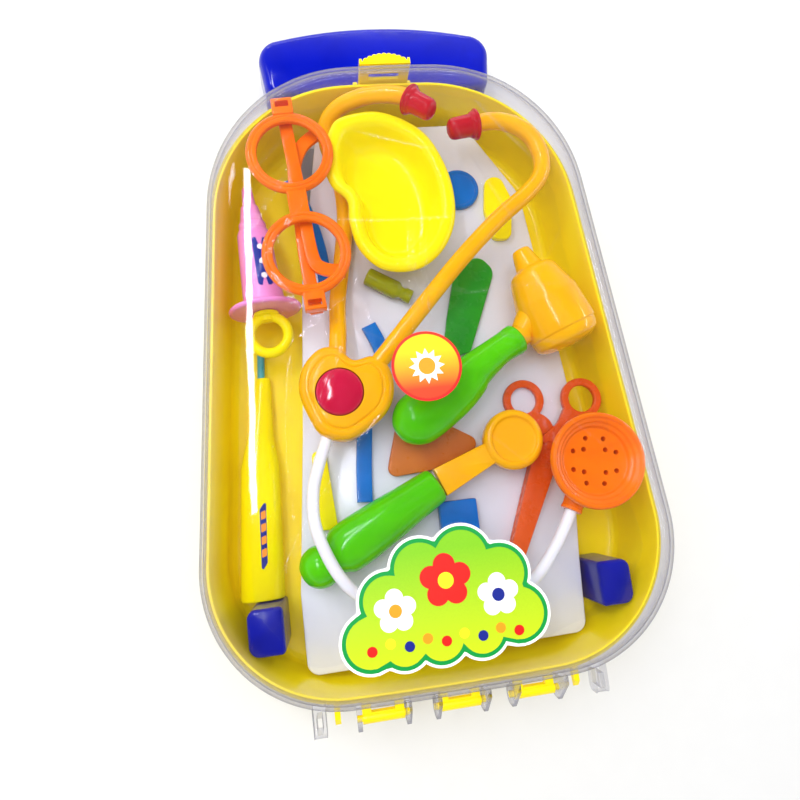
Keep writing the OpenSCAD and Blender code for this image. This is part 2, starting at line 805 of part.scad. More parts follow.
module chest_bell() {
    r = bell_diameter / 2;
    neck_z = hose_route[16].z - bell_bottom;
    turn = atan2(hose_route[15].y - bell_at.y, hose_route[15].x - bell_at.x);
    color("#ff7800")
        translate([bell_at.x, bell_at.y, bell_bottom])
            difference() {
                union() {
                    rotate_extrude()
                        polygon([[0, 0], [10, 0], [13, 1.2], [16, 5], [19, 10], [r - 4, 17],
                            [r - 1, 21.5], [r, 24.5], [r - 0.5, 26.8], [r - 1.6, 27.5],
                            [r - 2.8, 27.2], [r - 3.4, 26], [r - 5.2, 25.4], [r - 5.8, 24],
                            [r - 7.6, 23.2], [r - 8.4, 21.2], [10, 20.7], [0, 20.6]]);
                    rotate(turn)
                        translate([r - 10, 0, neck_z])
                            rotate([0, 90, 0]) {
                                cylinder(h = 11, r1 = 7, r2 = 5.6);
                                translate([0, 0, 11]) cylinder(h = 2, r = 6);
                            }
                }
                for (ring = [[4, 8.9, 37], [8, 13.5, 14.5]])
                    for (i = [0:ring[0] - 1])
                        rotate(360 * i / ring[0] + ring[2])
                            translate([ring[1], 0, 14.5])
                                cylinder(h = 10, r = 1.4, $fn = 16);
                translate([-bell_at.x, -bell_at.y, -bell_bottom])
                    aim(hose_route[16], hose_route[15])
                        cylinder(h = 30, r = hose_diameter / 2 + fit_gap);
            }
}

// ---------- glasses ----------

glasses_at = [-58, 94.8];
glasses_turn = 3.7;
dish_floor = tray_height + 11.5;
dish_top = dish_floor + dish_depth;
glasses_z = dish_top + 0.9;
lens_y = 30;

module glasses_place(z) {
    translate([glasses_at.x, glasses_at.y, z])
        rotate(glasses_turn) children();
}

module glasses_frame() {
    r = lens_ring_diameter / 2;
    inner = lens_opening / 2;
    t = glasses_thickness;
    color("#ff7a14")
        glasses_place(glasses_z) {
            for (side = [-1, 1]) {
                translate([0, side * lens_y, 0])
                    rotate_extrude()
                        polygon([[inner, 0.8], [inner + 0.8, 0], [r - 1.4, 0], [r, 1.2],
                            [r, t - 1.2], [r - 1.4, t], [inner + 0.8, t], [inner, t - 0.8]]);
                difference() {
                    translate([-6, side * (lens_y + r) - (side > 0 ? 1.6 : 8.4), -2.4])
                        cube([12, 10, t + 3]);
                    translate([-3.8, side * (lens_y + r + 4.6) - 1.8, -4])
                        cube([7.6, 3.6, 20]);
                }
            }
            difference() {
                translate([-5.5, -8, 0.4]) cube([11, 16, t - 0.8]);
                for (side = [-1, 1])
                    translate([0, side * lens_y, -1])
                        cylinder(h = 20, r = inner + 1);
            }
        }
}

temple_thickness = 3;
temple_gap = 0.3;

module temple_upper() {
    z = glasses_z - 2.4 - temple_gap - temple_thickness;
    color("#ff7a14")
        glasses_place(z)
            linear_extrude(temple_thickness)
                polygon(strip_outline([[0, 60], [1, 30], [2, 0], [3, -30], [8, -38],
                    [20, -41]], 7.5));
}

module temple_lower() {
    z = glasses_z - 2.4 - 2 * (temple_gap + temple_thickness);
    color("#ff7a14")
        glasses_place(z)
            linear_extrude(temple_thickness)
                polygon(strip_outline([[0, -62], [-1, -30], [0, 0], [1, 24], [7, 38],
                    [16, 45]], 7.5));
}

// ---------- kidney dish ----------

dish_at = [-4, 102];
dish_points = [[-25, 47], [-5, 50], [12, 44], [25, 33], [33, 16], [36.5, -2], [35, -21],
    [27, -37], [14, -47.5], [0, -50], [-13, -46], [-23, -34], [-26.5, -18], [-26.5, -5],
    [-34, 4], [-37, 14], [-36.5, 26], [-32.5, 39]];

function dish_outline(inset) =
    grow(smooth([for (i = [len(dish_points) - 1:-1:0]) dish_points[i]], 2), -inset);

module kidney_dish() {
    profile = [[14, dish_floor], [12, dish_floor + 0.8], [5.4, dish_top - 6],
        [4.6, dish_top - 2.6], [0.8, dish_top - 2.6], [0, dish_top - 1.6],
        [0.9, dish_top - 0.5], [3.2, dish_top], [5.6, dish_top - 0.8], [7, dish_top - 2.8],
        [9.6, dish_top - 12], [12.6, dish_floor + 2.6], [15.5, dish_floor + 1.8]];
    color("#ffee10")
        translate([dish_at.x, dish_at.y, 0])
            loft([for (q = profile) lift(dish_outline(q[0]), q[1])]);
}

// ---------- otoscope and mirror ----------

otoscope_z = tray_height + 18.8;
otoscope_end = [-3.3, -32.2, otoscope_z];
otoscope_neck = [62.8, 7.9, otoscope_z + 2];
otoscope_collar = [61.1, 10.5, otoscope_z + 2];
otoscope_length = norm(otoscope_neck - otoscope_end);
head_tip = [69, 62.5, otoscope_z + 4];
head_rim = [91.2, 3.5, otoscope_z + 2];

// Oval grip along +Z, each ring [z, half width, half height, shift across]
module grip(rings, sides) {
    loft([for (q = rings) [for (k = [0:sides - 1]) let (a = 360 * (k + 0.5) / sides)
        [q[2] * cos(a), q[1] * sin(a) + q[3], q[0]]]]);
}

module otoscope_handle() {
    length = otoscope_length;
    color("#46b400")
        aim(otoscope_end, otoscope_neck)
            grip([[-14.2, 3, 2.4, 0.9], [-13, 6.6, 5.2, 0.9], [-9.6, 10.8, 8.4, 0.9],
                [-5, 13.8, 10.6, 0.9], [0, 15.2, 11.5, 0.9], [10, 15.4, 11.6, 0.8],
                [24, 14.5, 11.4, 0.7], [34, 13.2, 10.8, 1.1], [42, 11.8, 10.2, 2.1],
                [length - 31, 10.6, 9.9, 3], [length - 17, 8.9, 9.2, 3.7],
                [length - 9, 8.9, 9.2, 3.3], [length - 6, 9.2, 9.4, 3.1],
                [length - 2, 9, 9.2, 3], [length - 1, 8, 8.2, 3]], 20);
}

module otoscope_head() {
    length = norm(head_rim - head_tip);
    color("#ffb000")
        difference() {
            union() {
                aim(head_tip, head_rim)
                    rotate_extrude()
                        polygon([[0, 0], [4.4, 0], [5.4, 1], [8.2, 12], [12.4, 13.6],
                            [14.4, 16], [19.4, 33], [20.4, length - 14], [20.4, length - 9],
                            [19.6, length - 8.6], [19.6, length - 6], [18.4, length - 2.6],
                            [14.6, length - 0.4], [8, length + 1], [0, length + 1.4]]);
                aim(otoscope_end, otoscope_neck)
                    translate([0, 3, otoscope_length - 1 + fit_gap]) cylinder(h = 5, r = 6.8);
                aim(otoscope_collar, (head_tip + head_rim) / 2)
                    translate([0, 0, 3]) cylinder(h = 13, r1 = 6.6, r2 = 9.5);
            }
            aim(head_tip, head_rim)
                translate([0, 0, -1]) cylinder(h = 9, r = 1.8);
        }
}

mirror_z = tray_height + 12.4;
mirror_ball = [-66, -105.5, mirror_z];
mirror_neck = [4, -68.5, mirror_z];
mirror_disc = [50.6, -48.5];

module mirror_handle() {
    length = norm(mirror_neck - mirror_ball);
    color("#46b400")
        aim(mirror_ball, mirror_neck)
            grip([[-10.6, 2.5, 2.5, 0], [-9.4, 5.6, 5.6, 0], [-5.5, 9.4, 9.4, 0],
                [0, 11, 11, 0], [5, 10, 10, 0], [9, 8.8, 8.8, 0], [12, 11.5, 10.4, 0],
                [16, 13.4, 11.6, 0], [26, 14, 12, 0], [44, 13, 12, 0], [60, 11.6, 11, 0],
                [length - 6, 10.6, 10, 0], [length - 1.5, 10, 9.4, 0], [length, 8, 7.4, 0]], 18);
}

module mirror_head() {
    shank_start = [5.2, -67.9];
    shank_end = [36, -54.6];
    shank_thickness = 9;
    z = mirror_z - shank_thickness / 2;
    color("#ffb400") {
        translate([0, 0, z])
            linear_extrude(shank_thickness)
                polygon(concat(
                    [shank_start + [3, -7.8], shank_end + [3, -5.6]],
                    [shank_end + [-3, 5.6], shank_start + [-3, 7.8]]));
        translate([mirror_disc.x, mirror_disc.y, z + 0.8])
            rotate_extrude()
                polygon([[0, 0], [15.5, 0], [17.4, 2], [17.4, 8], [15.8, 9.6], [13.5, 9.8],
                    [12.4, 8.6], [11.4, 8.6], [10.6, 10.6], [9.4, 11], [8.4, 9.8], [0, 9.4]]);
    }
}

// ---------- syringe ----------

syringe_tip = [-88.5, 121];
syringe_end = [-83.6, 43.8];
syringe_z = tray_height + 5.4;
syringe_turn = atan2(syringe_end.y - syringe_tip.y, syringe_end.x - syringe_tip.x);

module syringe_place() {
    translate([syringe_tip.x, syringe_tip.y, syringe_z])
        rotate(syringe_turn)
            rotate([0, 90, 0]) children();
}

barrel_length = norm(syringe_end - syringe_tip);
plunger_bore = 4.6;

module syringe_barrel() {
    r = syringe_diameter / 2;
    d = finger_disc_diameter / 2;
    color("#f59bd8")
        syringe_place()
            rotate_extrude()
                polygon([[0, 0], [2.2, 0], [3, 1.2], [4, 12], [6.6, 22], [7.4, 25.5],
                    [r - 3, 28], [r - 2.2, 31], [r - 0.6, 60], [r, barrel_length - 4],
                    [r + 3, barrel_length - 2], [d - 1, barrel_length - 1.6],
                    [d, barrel_length - 0.6], [d, barrel_length + 0.6],
                    [d - 1, barrel_length + 1.6], [plunger_bore, barrel_length + 1.6],
                    [plunger_bore, 34], [0, 34]]);
}

module syringe_plunger() {
    start = barrel_length - 30;
    ring_centre = barrel_length + 10.5;
    color("#ffe21e")
        syringe_place() {
            translate([0, 0, start])
                cylinder(h = 37, r = plunger_bore - 0.3);
            translate([0, 0, barrel_length + 1.9])
                cylinder(h = 2, r = 7.5);
            translate([0, 0, ring_centre + 4.5])
                rotate([0, 90, 0])
                    rotate_extrude()
                        translate([11, 0]) circle(r = 3, $fn = 24);
        }
}

// ---------- thermometer ----------

module thermometer_body() {
    end_y = housing_face_y + 0.8;
    low_z = base_wall + 0.3;
    color("#ffe010")
        difference() {
            loft([for (q = [[end_y, -100.5, 12, 17], [end_y + 1.5, -100.5, 12.6, 17.6],
                [-46, -96.2, 11.2, 16], [-30, -95, 8, 13], [4, -90.8, 4.6, 9],
                [7, -90.5, 4, 8]])
                [for (k = [0:15]) let (a = -360 * (k + 0.5) / 16)
                    [q[1] + q[2] * cos(a) * (abs(cos(a)) > 0.9 ? 1 : 0.98),
                        q[0], low_z + q[3] / 2 + q[3] / 2 * sin(a)]]]);
            translate([-92, 3, low_z + 4])
                rotate([-90, 0, 4])
                    cylinder(h = 20, r = 2.3);
        }
}

module thermometer_probe() {
    low_z = base_wall + 0.3;
    color("#1e9aa8")
        translate([-92, 3, low_z + 4])
            rotate([-90, 0, 4]) {
                cylinder(h = 20, r = 2.2);
                translate([0, 0, 20]) sphere(r = 2.2);
            }
}

// ---------- scissors ----------

scissors_pivot = [74, -54];
blade_end = [42, -122];
loop_middle = [7.5, 27.5];
loop_offset = [17.2, -1.5];

module scissors_half(side, z) {
    way = unit(blade_end - scissors_pivot);
    across = [-way.y, way.x];
    loop_centre = scissors_pivot + loop_middle + side * loop_offset;
    t = scissors_thickness / 2 - 0.15;
    color("#ff6a1e")
        difference() {
            union() {
                translate([0, 0, z])
                    linear_extrude(t)
                        difference() {
                            union() {
                                polygon([scissors_pivot - 8 * across, scissors_pivot + 8 * across,
                                    blade_end + 4 * across, blade_end - 4 * across]);
                                polygon(strip_outline([scissors_pivot - side * 3 * across,
                                    scissors_pivot - 12 * way + side * 5 * across,
                                    loop_centre + 9 * way - side * 4 * across], 9));
                                translate(loop_centre) circle(r = 12.5);
                            }
                            translate(loop_centre) circle(r = 8);
                        }
            }
            translate([scissors_pivot.x, scissors_pivot.y, z - 1])
                cylinder(h = 20, r = 2.55);
        }
}

module scissors_lower() {
    scissors_half(-1, on_tray);
    color("#ff6a1e")
        translate([scissors_pivot.x, scissors_pivot.y, on_tray])
            cylinder(h = scissors_thickness - 0.3, r = 2.5);
}

module scissors_upper() {
    scissors_half(1, on_tray + scissors_thickness / 2 + 0.15);
}

// ---------- flat instruments on the tray ----------

module forceps() {
    color("#1e78c8")
        translate([0, 0, on_tray])
            linear_extrude(4)
                polygon(strip_outline([[-37.5, -74], [-36, -55], [-33, -30], [-30, -5],
                    [-18, 10], [-24, 30]], 9));
}

module tongs() {
    color("#2a6fd0")
        translate([0, 0, on_tray])
            linear_extrude(4)
                polygon(strip_outline([[-63, 126], [-54, 104], [-48.5, 80], [-47, 56]], 8));
}

module spatula() {
    color("#2d9e3c")
        translate([0, 0, on_tray])
            linear_extrude(3.5)
                polygon(rounded([[18, 4], [36, 8], [58, 58], [50, 68], [34, 64], [24, 30]],
                    [4, 4, 8, 8, 8, 20], 5));
}

module badge() {
    color("#2a5fd0")
        translate([42.6, 113.6, on_tray])
            rotate_extrude()
                polygon([[0, 0], [13, 0], [13, 3], [12.2, 3.8], [11, 3.8], [10.4, 3], [0, 3]]);
}

module spoon() {
    color("#f5e632")
        translate([0, 0, on_tray])
            linear_extrude(4)
                polygon(rounded([[60, 78], [72, 78], [76, 104], [70, 122], [60, 118],
                    [57, 98]], [5, 5, 8, 6, 6, 12], 5));
}

module bottle() {
    color("#9aa51e")
        aim([-22, 60, on_tray + 5.5], [3, 44.5, on_tray + 5.5])
            rotate_extrude()
                polygon([[0, 0], [4.6, 0], [5.4, 0.8], [5.4, 20], [3.4, 23], [3.4, 25],
                    [4.2, 25], [4.2, 30], [0, 30]]);
}

module strip() {
    color("#f2d720")
        translate([0, 0, on_tray])
            linear_extrude(3)
                polygon(rounded([[-66, -87], [-54, -87], [-57, -42], [-65, -42]],
                    [3, 3, 3, 3], 4));
}

module splint() {
    color("#d2691e")
        translate([0, 0, on_tray])
            linear_extrude(4)
                polygon(rounded([[-24, -62], [23, -59], [34, -46], [-10.5, -18]],
                    [5, 5, 5, 5], 5));
}

module medicine_box() {
    color("#2f62c4")
        translate([4, -97, on_tray])
            cube([22, 18, 8]);
}

// ---------- nodes ----------

base_shell();
lid();
latch();
pull_handle();
rod_left();
rod_right();
rod_guide_left();
rod_guide_right();
wheel_left();
wheel_right();
axle_left();
axle_right();
wheel_housing_left();
wheel_housing_right();
insert_tray();
heart_base();
heart_cover();
heart_button();
button_spring();
ear_tube_left();
ear_tube_right();
ear_tip_left();
ear_tip_right();
hose();
chest_bell();
glasses_frame();
temple_upper();
temple_lower();
kidney_dish();
otoscope_handle();
otoscope_head();
mirror_handle();
mirror_head();
syringe_barrel();
syringe_plunger();
thermometer_body();
thermometer_probe();
scissors_lower();
scissors_upper();
forceps();
tongs();
spatula();
badge();
spoon();
bottle();
strip();
splint();
medicine_box();
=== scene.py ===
"""Toy doctor case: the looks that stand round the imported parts.

The classes hold sizes in millimetres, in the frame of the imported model: +X right, +Y to
the pull handle, +Z to the lid. A mesh turns to metres when its object is made.
"""

import logging
import math
from collections.abc import Callable
from dataclasses import dataclass, field
from enum import Enum

import bmesh
import bpy
import numpy as np
from mathutils import Euler, Matrix, Vector


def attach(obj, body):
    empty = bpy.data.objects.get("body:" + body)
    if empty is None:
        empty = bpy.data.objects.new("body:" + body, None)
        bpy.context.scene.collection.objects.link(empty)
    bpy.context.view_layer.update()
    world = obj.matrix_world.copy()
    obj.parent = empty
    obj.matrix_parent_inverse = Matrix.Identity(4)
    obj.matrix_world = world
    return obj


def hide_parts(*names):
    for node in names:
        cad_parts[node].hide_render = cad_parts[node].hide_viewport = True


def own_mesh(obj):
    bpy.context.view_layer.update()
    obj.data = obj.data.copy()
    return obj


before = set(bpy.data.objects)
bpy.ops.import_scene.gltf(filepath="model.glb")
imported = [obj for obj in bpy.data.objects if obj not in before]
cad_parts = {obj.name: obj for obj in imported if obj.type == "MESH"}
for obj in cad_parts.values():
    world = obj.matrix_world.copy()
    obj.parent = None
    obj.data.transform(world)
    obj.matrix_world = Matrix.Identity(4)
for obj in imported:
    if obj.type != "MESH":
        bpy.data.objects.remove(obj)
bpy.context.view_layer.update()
MM = 0.001
log = logging.getLogger("doctor_case")
Array = np.ndarray
COLOUR_A, COLOUR_B = 6, 7  # the colour inputs of a Mix node
WHITE = (1, 1, 1, 1)


class Body(Enum):
    """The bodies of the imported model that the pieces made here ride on."""

    CASE = "case"
    LID = "lid"
    LATCH = "latch"
    HANDLE = "handle"
    PLUNGER = "plunger"
    BUTTON = "button"
    SCISSORS_BLADE = "scissors_blade"


class Side(Enum):
    """Left or right of the case, as the factor that X is multiplied by."""

    LEFT = -1
    RIGHT = 1


# ---------- lines and outlines ----------


def points(*rows: tuple[float, ...]) -> Array:
    """Rows of numbers as one array of points."""
    return np.array(rows, float)


def unit(v: Array) -> Array:
    """Vectors scaled to length one, along the last axis."""
    return v / np.linalg.norm(v, axis=-1, keepdims=True)


def arc(centre: tuple[float, float], radius: float, start: float, end: float, count: int) -> Array:
    """Points on an arc.

    Args:
        centre: Middle of the arc.
        radius: Its radius.
        start: First angle in degrees.
        end: Last angle in degrees.
        count: Number of points, both ends among them.

    Returns:
        The points, one a row.
    """
    turn = np.radians(np.linspace(start, end, count))
    return np.array(centre) + radius * np.column_stack([np.cos(turn), np.sin(turn)])


def rounded(corners: Array, radii: list[float], count: int = 8) -> Array:
    """Corners of a polygon rounded to their own radii.

    Args:
        corners: The sharp corners.
        radii: One radius a corner.
        count: Points in each rounded corner.

    Returns:
        The rounded outline.
    """
    found = []
    for i, here in enumerate(corners):
        before = unit(corners[i - 1] - here)
        after = unit(corners[(i + 1) % len(corners)] - here)
        half = math.acos(max(-1.0, min(1.0, float(before @ after)))) / 2
        centre = here + unit(before + after) * radii[i] / math.sin(half)
        start = here + before * radii[i] / math.tan(half) - centre
        end = here + after * radii[i] / math.tan(half) - centre
        first = math.degrees(math.atan2(start[1], start[0]))
        last = math.degrees(math.atan2(end[1], end[0]))
        turn = (last - first + 540) % 360 - 180
        found.append(arc(tuple(centre), radii[i], first, first + turn, count))
    return np.vstack(found)


def curve(line: Array, steps: int, loop: bool = False) -> Array:
    """Smooth curve that passes through every point.

    Args:
        line: The points it passes through.
        steps: Steps between neighbours.
        loop: Whether the last point joins the first.

    Returns:
        The finer line.
    """
    count = len(line)
    found = []
    for i in range(count if loop else count - 1):
        if loop:
            a, b, c, d = (line[(i + k) % count] for k in (-1, 0, 1, 2))
        else:
            a, b, c, d = (line[min(max(i + k, 0), count - 1)] for k in (-1, 0, 1, 2))
        for t in np.linspace(0, 1, steps, endpoint=False):
            found.append(
                (2 * b + (c - a) * t + (2 * a - 5 * b + 4 * c - d) * t**2
                 + (3 * b - a - 3 * c + d) * t**3) / 2
            )
    if not loop:
        found.append(line[-1])
    return np.array(found)


def grown(outline: Array, distance: float) -> Array:
    """A closed anticlockwise outline moved outwards, or inwards where distance is below 0."""
    along = unit(np.roll(outline, -1, axis=0) - np.roll(outline, 1, axis=0))
    return outline + distance * np.column_stack([along[:, 1], -along[:, 0]])


def softened(line: Array, cut: float, steps: int = 4, loop: bool = False) -> Array:
    """A line with its corners turned into small curves.

    Args:
        line: The line with sharp corners.
        cut: How far from a corner its curve starts, at most.
        steps: Points in each curve.
        loop: Whether the line is closed.

    Returns:
        The softened line.
    """
    count = len(line)
    found = []
    for i, here in enumerate(line):
        if not loop and i in (0, count - 1):
            found.append(here)
            continue
        before, after = line[i - 1] - here, line[(i + 1) % count] - here
        start = here + before * min(0.45, cut / max(np.linalg.norm(before), 1e-9))
        end = here + after * min(0.45, cut / max(np.linalg.norm(after), 1e-9))
        for t in np.linspace(0, 1, steps):
            found.append(start * (1 - t) ** 2 + here * 2 * t * (1 - t) + end * t**2)
    return np.array(found)


def strip(line: Array, width: float) -> Array:
    """Outline of a flat strip of one width along a line."""
    ahead = np.vstack([line[1:], line[-1:]])
    behind = np.vstack([line[:1], line[:-1]])
    along = unit(ahead - behind)
    side = np.column_stack([along[:, 1], -along[:, 0]]) * width / 2
    return np.vstack([line + side, (line - side)[::-1]])


def anticlockwise(outline: Array) -> Array:
    """The outline, turned round if it runs clockwise."""
    x, y = outline[:, 0], outline[:, 1]
    area = float((x * np.roll(y, -1) - y * np.roll(x, -1)).sum())
    return outline[::-1] if area < 0 else outline


def lifted(outline: Array, z: float) -> Array:
    """A flat outline at height z."""
    return np.column_stack([outline, np.full(len(outline), z)])


# ---------- closed surfaces ----------


@dataclass
class Shell:
    """One closed surface in millimetres.

    Attributes:
        points: Its corners, one a row.
        faces: The rows that each face joins.
    """

    points: Array
    faces: list[tuple[int, ...]]

    def moved(self, matrix: Matrix) -> "Shell":
        """The same surface at another place."""
        turn = np.array(matrix)
        return Shell(self.points @ turn[:3, :3].T + turn[:3, 3], self.faces)

    def on_side(self, side: Side) -> "Shell":
        """The same surface, or its mirror image on the left."""
        return Shell(self.points * [side.value, 1, 1], self.faces)


def loft(rings: list[Array], loop: bool = False) -> Shell:
    """Surface through rings that have the same number of points.

    Args:
        rings: The rings in order.
        loop: Whether the last ring joins the first, which leaves out the two ends.

    Returns:
        The surface.
    """
    count, total = len(rings[0]), len(rings)
    faces: list[tuple[int, ...]] = []
    for k in range(total if loop else total - 1):
        a, b = k * count, (k + 1) % total * count
        for i in range(count):
            j = (i + 1) % count
            faces.append((a + i, a + j, b + j, b + i))
    if not loop:
        faces.append(tuple(range(count - 1, -1, -1)))
        faces.append(tuple(range((total - 1) * count, total * count)))
    return Shell(np.vstack(rings), faces)


def lathe(profile: Array, sides: int = 64) -> Shell:
    """Turned surface about +Z.

    Args:
        profile: Rows of radius and height. It starts and ends on the axis, or it is a
            closed section that stays clear of it.
        sides: Number of flats round the axis.

    Returns:
        The surface.
    """
    turn = np.linspace(0, 2 * math.pi, sides, endpoint=False)
    round_ = np.column_stack([np.cos(turn), np.sin(turn)])
    poles = profile[0][0] < 1e-6
    body = profile[1:-1] if poles else profile
    shell = loft([lifted(round_ * r, z) for r, z in body], loop=not poles)
    if poles:
        faces, first = shell.faces[:-2], len(shell.points)
        last_ring = first - sides
        for i in range(sides):
            j = (i + 1) % sides
            faces.append((first, j, i))
            faces.append((first + 1, last_ring + i, last_ring + j))
        ends = points((0, 0, profile[0][1]), (0, 0, profile[-1][1]))
        shell = Shell(np.vstack([shell.points, ends]), faces)
    return shell


def tube(line: Array, diameter: float, sides: int = 28, loop: bool = False) -> Shell:
    """Round bar along a line, without twist.

    Args:
        line: Its middle line.
        diameter: Its diameter.
        sides: Number of flats round it.
        loop: Whether it closes on itself.

    Returns:
        The surface.
    """
    if loop:
        along = unit(np.roll(line, -1, axis=0) - np.roll(line, 1, axis=0))
    else:
        along = unit(np.gradient(line, axis=0))
    side = unit(np.cross(along[0], [0.2, 0.1, 1.0]))
    rings = []
    for place, way in zip(line, along):
        side = unit(side - way * (side @ way))
        up = np.cross(way, side)
        turn = np.linspace(0, 2 * math.pi, sides, endpoint=False)[:, None]
        rings.append(place + diameter / 2 * (np.cos(turn) * side + np.sin(turn) * up))
    return loft(rings, loop)


def slab(outline: Array, low: float, high: float, edge: float = 0.5) -> Shell:
    """Flat plate between two heights with rounded edges.

    Args:
        outline: Its anticlockwise outline.
        low: Its lower face.
        high: Its upper face.
        edge: Radius of the rounded edges.

    Returns:
        The surface.
    """
    turns = [math.radians(a) for a in (0, 30, 60, 90)]
    low_rings = [(edge * (1 - math.sin(a)), low + edge * (1 - math.cos(a))) for a in turns]
    high_rings = [(inset, high + low - z) for inset, z in reversed(low_rings)]
    return loft([lifted(grown(outline, -inset), z) for inset, z in low_rings + high_rings])


def draped(
    outline: Array, over: Callable[[Array], Array], thickness: float, count: int = 6
) -> Shell:
    """Thin sheet that lies on a surface.

    Args:
        outline: Its anticlockwise outline, seen from above.
        over: Gives the surface's heights at rows of X and Y.
        thickness: Its thickness.
        count: Rings from its middle to its edge.

    Returns:
        The closed surface.
    """
    middle = outline.mean(axis=0)
    flats = [middle + (outline - middle) * share for share in np.linspace(0.01, 1, count)]
    rings = [np.column_stack([flat, over(flat)]) for flat in flats]
    return loft(rings + [ring + [0, 0, thickness] for ring in reversed(rings)])


def block(low: tuple[float, ...], high: tuple[float, ...], edge: float = 0.4) -> Shell:
    """Box between two corners with rounded edges."""
    corners = points(low[:2], (high[0], low[1]), high[:2], (low[0], high[1]))
    return slab(rounded(corners, [edge] * 4, 4), low[2], high[2], edge)


def across_x(outline: Array, x0: float, x1: float, edge: float = 0.3) -> Shell:
    """Bar along X from a profile of Y and Z.

    Args:
        outline: The profile, anticlockwise with Y to the right and Z up.
        x0: Its first end.
        x1: Its last end.
        edge: Radius of the rounded edges.

    Returns:
        The surface.
    """
    shell = slab(outline, x0, x1, edge)
    return Shell(shell.points[:, [2, 0, 1]], shell.faces)


def pin(x0: float, x1: float, y: float, z: float, radius: float) -> Shell:
    """Round pin along X with small chamfers."""
    edge = min(0.3, radius / 4)
    return across_x(arc((y, z), radius, 0, 360 - 360 / 32, 32), x0, x1, edge)


def aimed(start: Array, end: Array) -> Matrix:
    """The matrix that turns +Z at the origin to point from start to end."""
    way = Vector(end - start)
    tilt = Matrix.Rotation(math.acos(way.z / way.length), 4, "Y")
    turn = Matrix.Rotation(math.atan2(way.y, way.x), 4, "Z")
    return Matrix.Translation(Vector(start)) @ turn @ tilt


def raw_object(name: str, shell: Shell) -> bpy.types.Object:
    """An object in metres with one closed surface, whose faces look outwards.

    Args:
        name: Name of the object.
        shell: Its surface in millimetres.

    Returns:
        The linked object.
    """
    mesh = bpy.data.meshes.new(name)
    mesh.from_pydata((shell.points * MM).tolist(), [], shell.faces)
    bm = bmesh.new()
    bm.from_mesh(mesh)
    bmesh.ops.remove_doubles(bm, verts=bm.verts, dist=1e-7)
    bmesh.ops.recalc_face_normals(bm, faces=bm.faces)
    bm.to_mesh(mesh)
    bm.free()
    made = bpy.data.objects.new(name, mesh)
    bpy.context.scene.collection.objects.link(made)
    return made


def solid(
    name: str, shells: list[Shell], cuts: list[Shell], limits: tuple[Shell, ...] = ()
) -> bpy.types.Object:
    """One object from surfaces that are joined, less surfaces that are cut away.

    Args:
        name: Name of the object.
        shells: What is joined.
        cuts: What is cut away.
        limits: Surfaces that it has to stay within.

    Returns:
        The object with one mesh.
    """
    made = raw_object(name, shells[0])
    tools = []
    steps = (("UNION", shells[1:]), ("INTERSECT", limits), ("DIFFERENCE", cuts))
    for operation, group in steps:
        for shell in group:
            tool = raw_object(f"{name}_tool", shell)
            step = made.modifiers.new("step", "BOOLEAN")
            step.operation, step.object, step.solver = operation, tool, "MANIFOLD"
            tools.append(tool)
    if tools:
        seen = bpy.context.evaluated_depsgraph_get()
        mesh = bpy.data.meshes.new_from_object(made.evaluated_get(seen))
        made.modifiers.clear()
        made.data = mesh
        for tool in tools:
            bpy.data.objects.remove(tool)
    if not made.data.polygons:
        raise ValueError(f"{name} has no faces after its cuts")
    return made


def joined_shell(shells: list[Shell], cuts: list[Shell]) -> Shell:
    """Surfaces joined and cut into one surface that a piece can go on with."""
    made = solid("step", shells, cuts)
    shape = Shell(np.array([v.co for v in made.data.vertices]) / MM,
                  [tuple(f.vertices) for f in made.data.polygons])
    bpy.data.objects.remove(made)
    return shape


# ---------- finishes ----------


def linear(colour: str) -> tuple[float, float, float, float]:
    """An sRGB hex colour as linear red, green, blue and alpha."""
    parts = [int(colour[i:i + 2], 16) / 255 for i in (1, 3, 5)]
    turned = [p / 12.92 if p <= 0.04045 else ((p + 0.055) / 1.055) ** 2.4 for p in parts]
    return (turned[0], turned[1], turned[2], 1.0)


def add_node(
    tree: bpy.types.NodeTree, kind: str, inputs: dict[str | int, object], **settings: object
) -> bpy.types.Node:
    """Adds a node with its settings and links.

    Args:
        tree: The tree that it is added to.
        kind: Blender's name of the node type.
        inputs: A value or a socket for each named or numbered input.
        settings: The node's own settings.

    Returns:
        The node.
    """
    node = tree.nodes.new(kind)
    for key, value in settings.items():
        setattr(node, key, value)
    for key, value in inputs.items():
        if isinstance(value, bpy.types.NodeSocket):
            tree.links.new(value, node.inputs[key])
        else:
            node.inputs[key].default_value = value
    return node


def new_tree(name: str) -> tuple[bpy.types.Material, bpy.types.NodeTree, bpy.types.NodeSocket]:
    """A material with an empty node tree.

    Args:
        name: Name of the material.

    Returns:
        The material, its tree and the socket with places in the object's own space.
    """
    made = bpy.data.materials.new(name)
    made.use_nodes = True
    made.node_tree.nodes.clear()
    place = add_node(made.node_tree, "ShaderNodeTexCoord", {})
    return made, made.node_tree, place.outputs["Object"]


@dataclass(frozen=True)
class Finish:
    """What one kind of surface is made of.

    Attributes:
        name: What the surface is and how it was made.
        slot: Name of its material slot; not used.
    """

    name: str
    slot: str

    def build(self) -> bpy.types.Material:
        """The Blender material, which each kind of finish makes in its own way."""
        raise NotImplementedError

    def material(self) -> bpy.types.Material:
        """The finish's material, made once."""
        return bpy.data.materials.get(self.name) or self.build()


